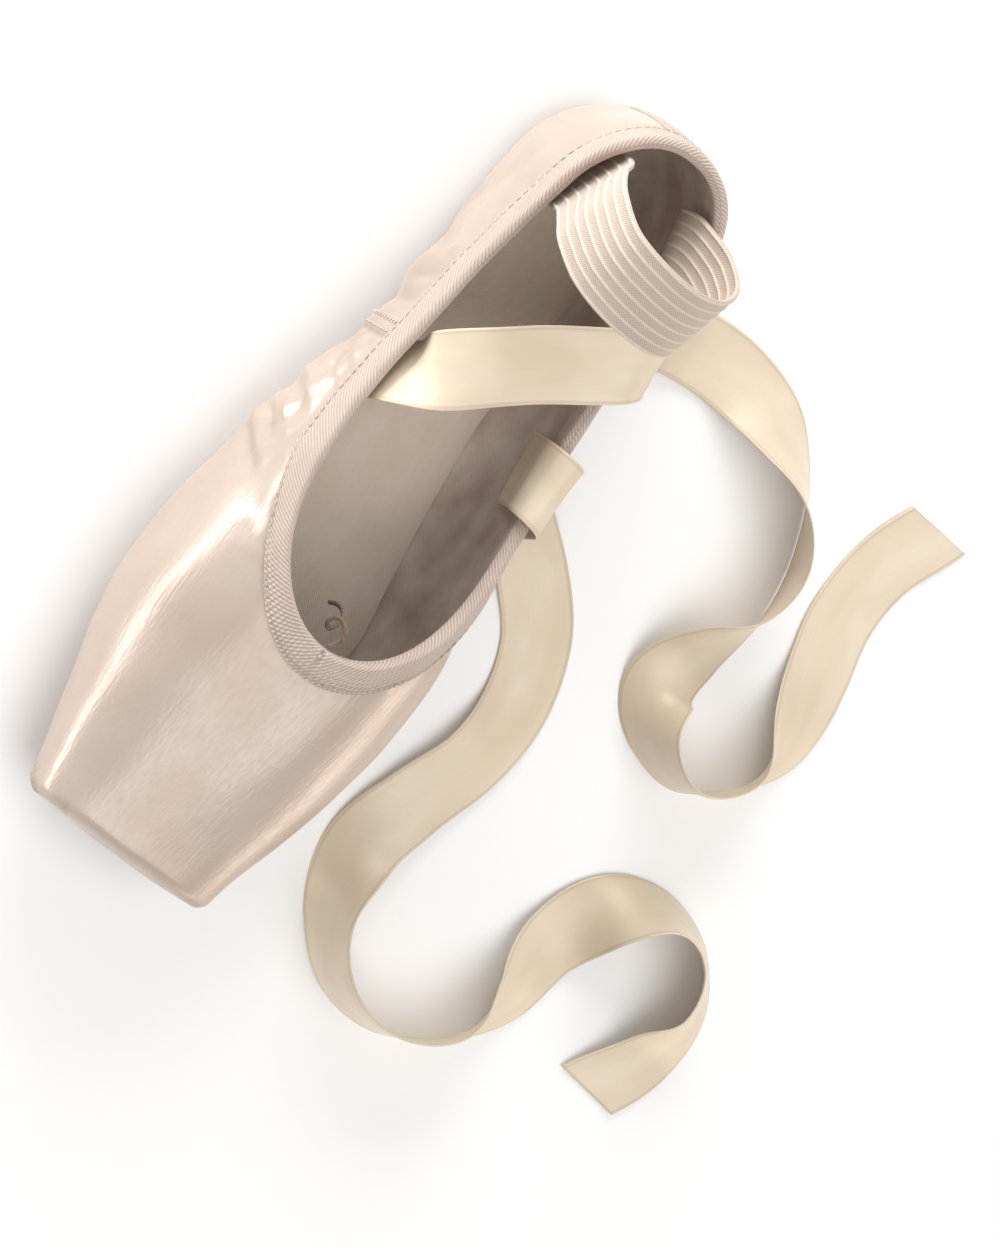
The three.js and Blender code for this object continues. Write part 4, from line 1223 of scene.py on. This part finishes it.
# Short threads joined in one mesh: each a small capsule, bowed up in the middle. runs are
# rows of stitches, each with its points, directions and normals.
def makeStitches(name, runs, length, thick, material, bow=0.25):
    rings, sides = 7, 6
    places, ways, ups = (np.concatenate(values) for values in zip(*runs))
    ways = unit(ways)
    ups = unit(ups - (ups * ways).sum(-1, keepdims=True) * ways)
    t = np.linspace(-1, 1, rings)
    turn = np.linspace(0, 2 * math.pi, sides + 1)[:-1]
    radius = thick / 2 * np.sqrt(np.maximum(1 - np.abs(t) ** 4, 0.0))
    shape = np.stack([
        np.repeat(t * length / 2, sides), np.outer(radius, np.cos(turn)).ravel(),
        np.outer(radius, np.sin(turn)).ravel() + np.repeat(bow * thick * (1 - t * t), sides)])
    points = aroundPath(places, (ways, np.cross(ups, ways), ups), shape[:, None, :])
    count = len(places)
    quads = gridQuads(rings, sides, closed=True) + rings * sides * np.arange(count)[:, None, None]
    uv = np.stack([shape[0], np.tile(turn, rings) * thick / 2], -1)
    piece = makePiece(name, toFrame(points), quads.reshape(-1, 4), [material], uv=np.tile(uv, (count, 1)))
    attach(piece, "root")
    print(name, count)


# Points every pitch along a row, with its direction and its normals.
def spaced(points, normals, pitch, start=0.0):
    along = lengthsAlong(points)
    at = np.arange(start + pitch / 2, along[-1] - pitch / 3, pitch)

    def read(values, where):
        return np.stack([np.interp(where, along, values[:, k]) for k in range(3)], 1)

    return read(points, at), read(points, at + 0.3) - read(points, at - 0.3), unit(read(normals, at))


# One row of stitches round the whole binding, near its lower edge.
def makeBindingStitches():
    rows, normals = edgeGrid(edgeParts, [binding["stitchDrop"]])
    place, way, up = spaced(mirrorRound(rows[:, 0]), mirrorRound(normals[:, 0]), binding["stitchPitch"])
    makeStitches("binding_stitches", [(place + up * (binding["proud"] - 0.2), way, up)],
                 binding["stitchLength"], binding["stitchThick"], seamThread)


makeBindingStitches()


# Two rows across each side, from the sole to the binding, on the relief of the satin: one
# of stitches that lie along the shoe, and one of stitches that follow the row.
def makeSeamStitches():
    runs = []
    share = np.linspace(0.1, 0.71, 300)
    for station in (sideSeam["crossed"], sideSeam["straight"]):
        x = np.full_like(share, station)
        skin = lastPoint(x, share, upper["seamHeight"])
        skin = skin[skin[:, 2] < edgeHeight(station, binding["drop"])]
        x, part = x[:len(skin)], share[:len(skin)]
        ahead = lastPoint(x, part, 1.0) - lastPoint(x, part, 0.0)
        girth = lengthsAlong(skin) + np.linalg.norm(skin[0] - lastPoint(np.array(station), np.array(0.0)))
        for side in (1, -1):
            height = reliefAt(x, girth, side, np.full(len(skin), 30.0), skin[:, 1], skin[:, 2])
            row = lastPoint(x, part, height + 0.05)
            row[:, 1] *= side
            place, way, up = spaced(row, ahead * [1, side, 1], sideSeam["pitch"])
            if station == sideSeam["crossed"]:
                way = np.tile([1.0, 0, 0], (len(way), 1))
            runs.append((place, way, up))
    makeStitches("side_seam_stitches", runs, sideSeam["length"], sideSeam["thick"], paleThread)


makeSeamStitches()

# Back strip

strip = {
    "width": 16.0,
    "thick": 0.8,
    "edge": 0.12,              # thickness at its edges
    "centre": (16.0, 24.0),    # station and height of the line that its rays start from
    "angles": (-79, 60),       # of the first and last ray above the level, in degrees
    "rows": 150,
    "columns": 49,
    "inset": 2.0,              # of the stitches and of the groove under them
    "grooveDepth": 0.22,
    "grooveWidth": 0.45,
    "stitchPitch": 1.7,
    "stitchLength": 1.25,
    "stitchThick": 0.34,
}


# How far out of the last a point is: 1 on its surface, by the section's own equations.
def levelAt(x, y, z):
    x = np.clip(x, 1e-4, shoe["length"])
    s = sectionAt(x)
    across = np.abs(y) / np.maximum(s["half"], 1e-3)
    rise = np.abs(z - s["widestAt"]) / np.maximum(s["top"] - s["widestAt"], 1e-3)
    above = across ** shoe["upperPower"] + rise ** shoe["upperPower"]
    side = np.clip(np.abs(y) - s["flat"], 0, None) / np.maximum(s["half"] - s["flat"], 1e-3)
    depth = np.abs(s["widestAt"] - z) / np.maximum(s["widestAt"] - s["bottom"], 1e-3)
    below = side ** shoe["lowerPower"] + depth ** shoe["lowerPower"]
    return np.where(z > s["widestAt"], above, below)


# Points of the heel's surface on rays from a line inside it, found by halving the range.
def heelSkin(angle, y, offset):
    centreX, centreZ = strip["centre"]
    low, high = np.zeros(np.broadcast(angle, y).shape), np.full(np.broadcast(angle, y).shape, 34.0)
    for _ in range(36):
        middle = (low + high) / 2
        x, z = centreX - np.cos(angle) * middle, centreZ + np.sin(angle) * middle
        outside = (x < 0) | (levelAt(x, y, z) > 1)
        low, high = np.where(outside, low, middle), np.where(outside, middle, high)
    reach = low + offset
    return np.stack([centreX - np.cos(angle) * reach, y + 0 * angle, centreZ + np.sin(angle) * reach], -1)


# Back strip: a thin closed band on the heel, thinner at its edges, with a groove under
# each row of stitches.
def makeBackStrip():
    half = strip["width"] / 2
    y = np.linspace(-half, half, strip["columns"])
    angle = np.linspace(*np.radians(strip["angles"]), strip["rows"])
    base = heelSkin(angle[:, None], y[None, :], 0.0)
    along = lengthsAlong(base[:, strip["columns"] // 2])
    edge = np.clip((half - np.abs(y)) / 0.5, 0, 1)
    groove = -strip["grooveDepth"] * bell(half - strip["inset"] - np.abs(y), strip["grooveWidth"])
    ripple = 0.1 * softNoise(along[:, None], 6 * y[None, :], 14, 31)
    thick = strip["edge"] + (strip["thick"] - strip["edge"]) * np.sqrt(edge) + groove + ripple
    outward = unit(heelSkin(angle[:, None], y[None, :], 1.0) - base)
    points = np.stack([base + outward * thick[..., None], base + outward * 0.06])
    rows, columns = base.shape[:2]
    count = rows * columns
    index = np.arange(count).reshape(rows, columns)
    loop = np.concatenate([index[0, :-1], index[:-1, -1], index[-1, :0:-1], index[:0:-1, 0]])
    faces = np.concatenate([gridQuads(rows, columns), gridQuads(rows, columns, count, turned=True),
                            rimQuads(loop, count)])
    uv = clothMap(along, y)
    piece = makePiece("heel_strip", toFrame(points), faces, [stripSatin], uv=np.stack([uv, uv + [0, 40]]))
    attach(piece, "root")
    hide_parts("back_strip")

    runs = []
    for side in (1, -1):
        at = np.full_like(angle, side * (half - strip["inset"]))
        out = heelSkin(angle, at, 2.0) - heelSkin(angle, at, 0.0)
        runs.append(spaced(heelSkin(angle, at, strip["thick"] - 0.25), out, strip["stitchPitch"], 3.0))
    makeStitches("heel_strip_stitches", runs, strip["stitchLength"], strip["stitchThick"], seamThread)


makeBackStrip()

# Elastic

elastic = {
    "width": 25.0,
    "fine": 900,
    "rings": 230,
    "columns": 97,             # on each face
    "ribs": 8,
    "ribWidth": 0.45,
    "ribHeight": 0.45,
    "beadHeight": 0.16,        # of a rib's beads, as a share of its height
    "beadPitch": 1.1,
    "base": 0.38,              # half thickness of the net between the ribs
    "sag": 0.5,
    # the near half, as a point and the way the face looks; the far half is its mirror image
    "route": [
        (27, -18.4, 33, -0.26, -1, 0.02), (27, -17.5, 41, -0.28, -1, 0.02),
        (28, -17.9, 50, -0.27, -1, 0), (31.5, -21.3, 60, -0.05, -1, 0.1),
        (37, -22, 70, 0.16, -0.94, 0.3), (43.5, -16, 79.5, 0.42, -0.6, 0.68),
        (46.5, 0, 84, 0.54, 0, 0.84),
    ],
}


# Elastic: rows along the arch, and across it a closed loop whose both faces carry ribs,
# which are beaded like cord and flatten where the ends are sewn in.
def makeElastic():
    table = np.array(elastic["route"], float)
    table = np.concatenate([table, table[:-1][::-1] * [1, -1, 1, 1, -1, 1]])
    centre, _, across, out = tapeRoute(table, elastic["fine"], elastic["rings"])
    along = lengthsAlong(centre)
    half = elastic["width"] / 2
    w = np.linspace(-half, half, elastic["columns"])
    ribAt = np.linspace(-half + 0.9, half - 0.9, elastic["ribs"])
    rib = bell(w[:, None] - ribAt, elastic["ribWidth"]).sum(1)
    edge = np.clip((half - np.abs(w)) / 0.5, 0, 1) ** 0.5
    flattened = smoothStep(0.0, 4.0, np.minimum(along, along[-1] - along))[:, None]
    beads = 1 + elastic["beadHeight"] * rib * np.sin(along[:, None] * 2 * math.pi / elastic["beadPitch"])
    skin = (elastic["base"] + elastic["ribHeight"] * rib * flattened) * edge * beads
    wAll = np.concatenate([w, w[::-1]])
    free = smoothStep(18, 40, along) * (1 - smoothStep(along[-1] - 40, along[-1] - 18, along))
    sag = elastic["sag"] * softNoise(along[:, None], wAll[None, :] * 0.6, 30, 41) * free[:, None]
    lift = np.concatenate([skin, -skin[:, ::-1]], 1) + sag
    points = aroundPath(centre, (across, out), (wAll[None, :], lift))
    rings, columns = points.shape[:2]
    faces = np.concatenate([gridQuads(rings, columns, closed=True), tapeEnds(rings, columns)])
    ribMark = np.broadcast_to(np.concatenate([rib, rib[::-1]]), (rings, columns))
    piece = makePiece("ankle_elastic", toFrame(points), faces, [elasticNet], uv=clothMap(along, wAll),
                      marks={"rib": ribMark})
    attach(piece, "root")
    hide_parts("elastic")
    print("elastic", round(float(along[-1]), 1), "mm")


makeElastic()

# Sole

sole = {
    "rows": (26, 400, 30),     # in the round rear end, between, and in the round front end
    "columns": 117,
    "coarser": 4,              # the upper face has one row and column for this many below
    "thickness": 2.2,
    "edgeThickness": 0.9,
    "skive": 3.2,              # width over which the edge thins
    "channel": 3.8,            # of the stitches, in from the edge
    "channelWidth": 0.62,
    "channelDepth": 0.4,
    "stitchPitch": 4.1,
    "stitchLength": 2.9,
    "stitchThick": 0.6,
    "diamond": 6.4,            # between the lattice's lines
    "angle": 52.0,             # of the lines from the shoe's length
    "lineDepth": 0.32,
    "lineWidth": 0.42,
    "apex": 88.0,              # of the pressed chevron behind the lattice
    "chevronSlope": 0.62,
    "latticeStart": 112.0,
    "latticeInset": 6.4,
}


# Distance of points from the sole's outline, as the least over its many short sides.
def insideSole(x, y, outline):
    start, end = outline[:-1], outline[1:]
    run = end - start
    size = (run**2).sum(1)
    result = np.empty(x.shape)
    for i in range(len(x)):
        gapX, gapY = x[i][:, None] - start[:, 0], np.abs(y[i])[:, None] - start[:, 1]
        t = np.clip((gapX * run[:, 0] + gapY * run[:, 1]) / size, 0, 1)
        result[i] = np.hypot(gapX - t * run[:, 0], gapY - t * run[:, 1]).min(1)
    return result


# Outline of the left half, from the rear end to the front end.
def soleOutline(count=500):
    rear, front = shoe["soleRear"], shoe["soleFront"]
    x = (rear + front) / 2 - (front - rear) / 2 * np.cos(np.linspace(0, math.pi, count))
    return np.stack([x, soleHalf(x, 0.0)], 1)


# The pressed pattern, from 0 to 1: two families of slanting lines, the border round them,
# and the chevron and the bar behind them, each a bell across its line.
def pressedAt(station, y, inside):
    turn = math.radians(sole["angle"])
    start, inset = sole["latticeStart"], sole["latticeInset"]
    lines = np.zeros(station.shape)
    for sign in (1, -1):
        phase = (station * math.sin(turn) + sign * y * math.cos(turn)) / sole["diamond"]
        gap = np.abs(phase - np.round(phase)) * sole["diamond"]
        lines = np.maximum(lines, bell(gap, sole["lineWidth"]))
    field = smoothStep(0, 0.5, inside - inset) * smoothStep(0, 0.5, station - start) * (inside > 0)
    border = bell(inside - inset, 0.5) * (station > start - 0.5)
    chevron = bell((np.abs(y) - (station - sole["apex"]) * sole["chevronSlope"]) * 0.85, 0.5)
    chevron = chevron * (station > sole["apex"]) * (station < start + 0.5) * (inside > inset - 0.5)
    bar = bell(station - start, 0.5) * (inside > inset - 0.5)
    return np.clip(lines * field + border + chevron + bar, 0, 1)


# Outsole: the last's bottom, lowered by a thickness that thins at the edge, with the
# pattern and the stitches' channel pressed up into its under face.
def makeSole():
    x = roundedStations(shoe["soleRear"], shoe["soleFront"], shoe["soleHeelRound"], shoe["soleToeRound"],
                        sole["rows"])
    spread = (0.25 * np.sin(np.linspace(-math.pi / 2, math.pi / 2, sole["columns"]))
              + 0.75 * np.linspace(-1, 1, sole["columns"]))
    station = np.broadcast_to(x[:, None], (len(x), sole["columns"]))
    y = soleHalf(x, 0.0)[:, None] * spread
    inside = insideSole(station, y, soleOutline())
    top = last["bottom"](station) - shoe["seatGap"]
    thicker = sole["thickness"] - sole["edgeThickness"]
    thick = sole["edgeThickness"] + thicker * roundEnd(inside, sole["skive"])
    channel = bell(inside - sole["channel"], sole["channelWidth"])
    pressed = pressedAt(station, y, inside)
    uneven = 0.07 * softNoise(station, y, 17, 51) + 0.03 * softNoise(station, y, 5, 52)
    low = top - thick + sole["lineDepth"] * pressed + sole["channelDepth"] * channel
    low = low + uneven * roundEnd(inside, 2)
    under = np.stack([station, y, np.maximum(low, 0.0)], -1)
    rows, columns = low.shape
    keepRows = np.unique(np.append(np.arange(0, rows, sole["coarser"]), rows - 1))
    keepColumns = np.arange(0, columns, sole["coarser"])
    above = np.stack([station, y, top], -1)[keepRows][:, keepColumns]
    first = rows * columns
    faces = gridQuads(rows, columns, turned=True).tolist()
    faces += gridQuads(len(keepRows), len(keepColumns), first).tolist()
    for column, other in ((0, 0), (columns - 1, len(keepColumns) - 1)):
        for k in range(len(keepRows) - 1):
            run = [i * columns + column for i in range(keepRows[k], keepRows[k + 1] + 1)]
            faces.append(run + [first + i * len(keepColumns) + other for i in (k + 1, k)])
    points = np.concatenate([under.reshape(-1, 3), above.reshape(-1, 3)])
    burnt = np.clip(1.15 * np.exp(-inside / 0.9) + 0.75 * pressed + 0.35 * channel, 0, 1)
    piece = makePiece("leather_sole", toFrame(points), faces, [soleLeather], uv=points[:, :2],
                      marks={"burnt": np.append(burnt, np.full(above[..., 0].size, 0.9))})
    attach(piece, "root")
    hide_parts("outsole")
    print("sole", len(piece.data.polygons), "faces")


# Stitches in the channel, whose path is the outline drawn in along its own normal.
def makeSoleStitches():
    outline = soleOutline(1500)
    ring = np.concatenate([outline, outline[::-1][1:-1] * [1, -1]])
    way = unit(np.roll(ring, -1, 0) - np.roll(ring, 1, 0))
    path = ring + np.stack([way[:, 1], -way[:, 0]], 1) * sole["channel"]
    height = last["bottom"](path[:, 0]) - shoe["seatGap"] - sole["thickness"] + 0.12
    path = np.column_stack([path, height])
    path = np.concatenate([path, path[:1]])
    place, ahead, up = spaced(path, np.tile([0.0, 0.0, -1.0], (len(path), 1)), sole["stitchPitch"])
    place[:, 2] = np.maximum(place[:, 2], 0.32)
    makeStitches("sole_stitches", [(place, ahead, up)], sole["stitchLength"], sole["stitchThick"],
                 soleThread, bow=0.1)


makeSole()
makeSoleStitches()

# Insole

insole = {
    "rows": (16, 150, 14),
    "columns": 41,
    "thickness": 1.6,
    "inset": 0.8,              # from the last's flat bottom
    "rear": 13.0,
    "front": 238.0,
    "rearRound": 16.0,
    "frontRound": 14.0,
    # dents under the heel and the ball: depth, station, length and width
    "dents": [(0.35, 38, 22, 11), (0.3, 166, 26, 20)],
}


# Insole: a cotton sock on the inside of the sole, closed all round. Its upper face is the
# lower one raised by the thickness, less a bell for each dent.
def makeInsole():
    rear, front = insole["rear"], insole["front"]
    x = roundedStations(rear, front, insole["rearRound"], insole["frontRound"], insole["rows"])
    half = (np.maximum(sectionAt(x)["flat"] - insole["inset"], 0) * roundEnd(x - rear, insole["rearRound"])
            * roundEnd(front - x, insole["frontRound"]))
    spread = np.sin(np.linspace(-math.pi / 2, math.pi / 2, insole["columns"]))
    station = np.broadcast_to(x[:, None], (len(x), insole["columns"]))
    y = half[:, None] * spread
    below = sectionAt(station, -last["wall"](station))["bottom"] + shoe["seatGap"]
    edge = np.clip(1 - np.abs(spread), 0, 1)
    dent = 0.0
    for depth, middle, length, width in insole["dents"]:
        dent = dent - depth * np.exp(-(((station - middle) / length) ** 2) - (y / width) ** 2)
    above = below + insole["thickness"] * np.minimum(1, 0.6 + 3 * edge) + dent
    above = above + 0.07 * softNoise(station, y, 16, 61)
    rows, columns = y.shape
    points = np.stack([np.stack([station, y, above], -1), np.stack([station, y, below], -1)])
    count = rows * columns
    index = np.arange(count).reshape(rows, columns)
    faces = np.concatenate([gridQuads(rows, columns), gridQuads(rows, columns, count),
                            rimQuads(np.concatenate([index[:, 0], index[::-1, -1]]), count)])
    piece = makePiece("cotton_sock", toFrame(points), faces, [sock], uv=points[..., :2])
    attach(piece, "root")
    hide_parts("insole")
    print("insole ready")


makeInsole()
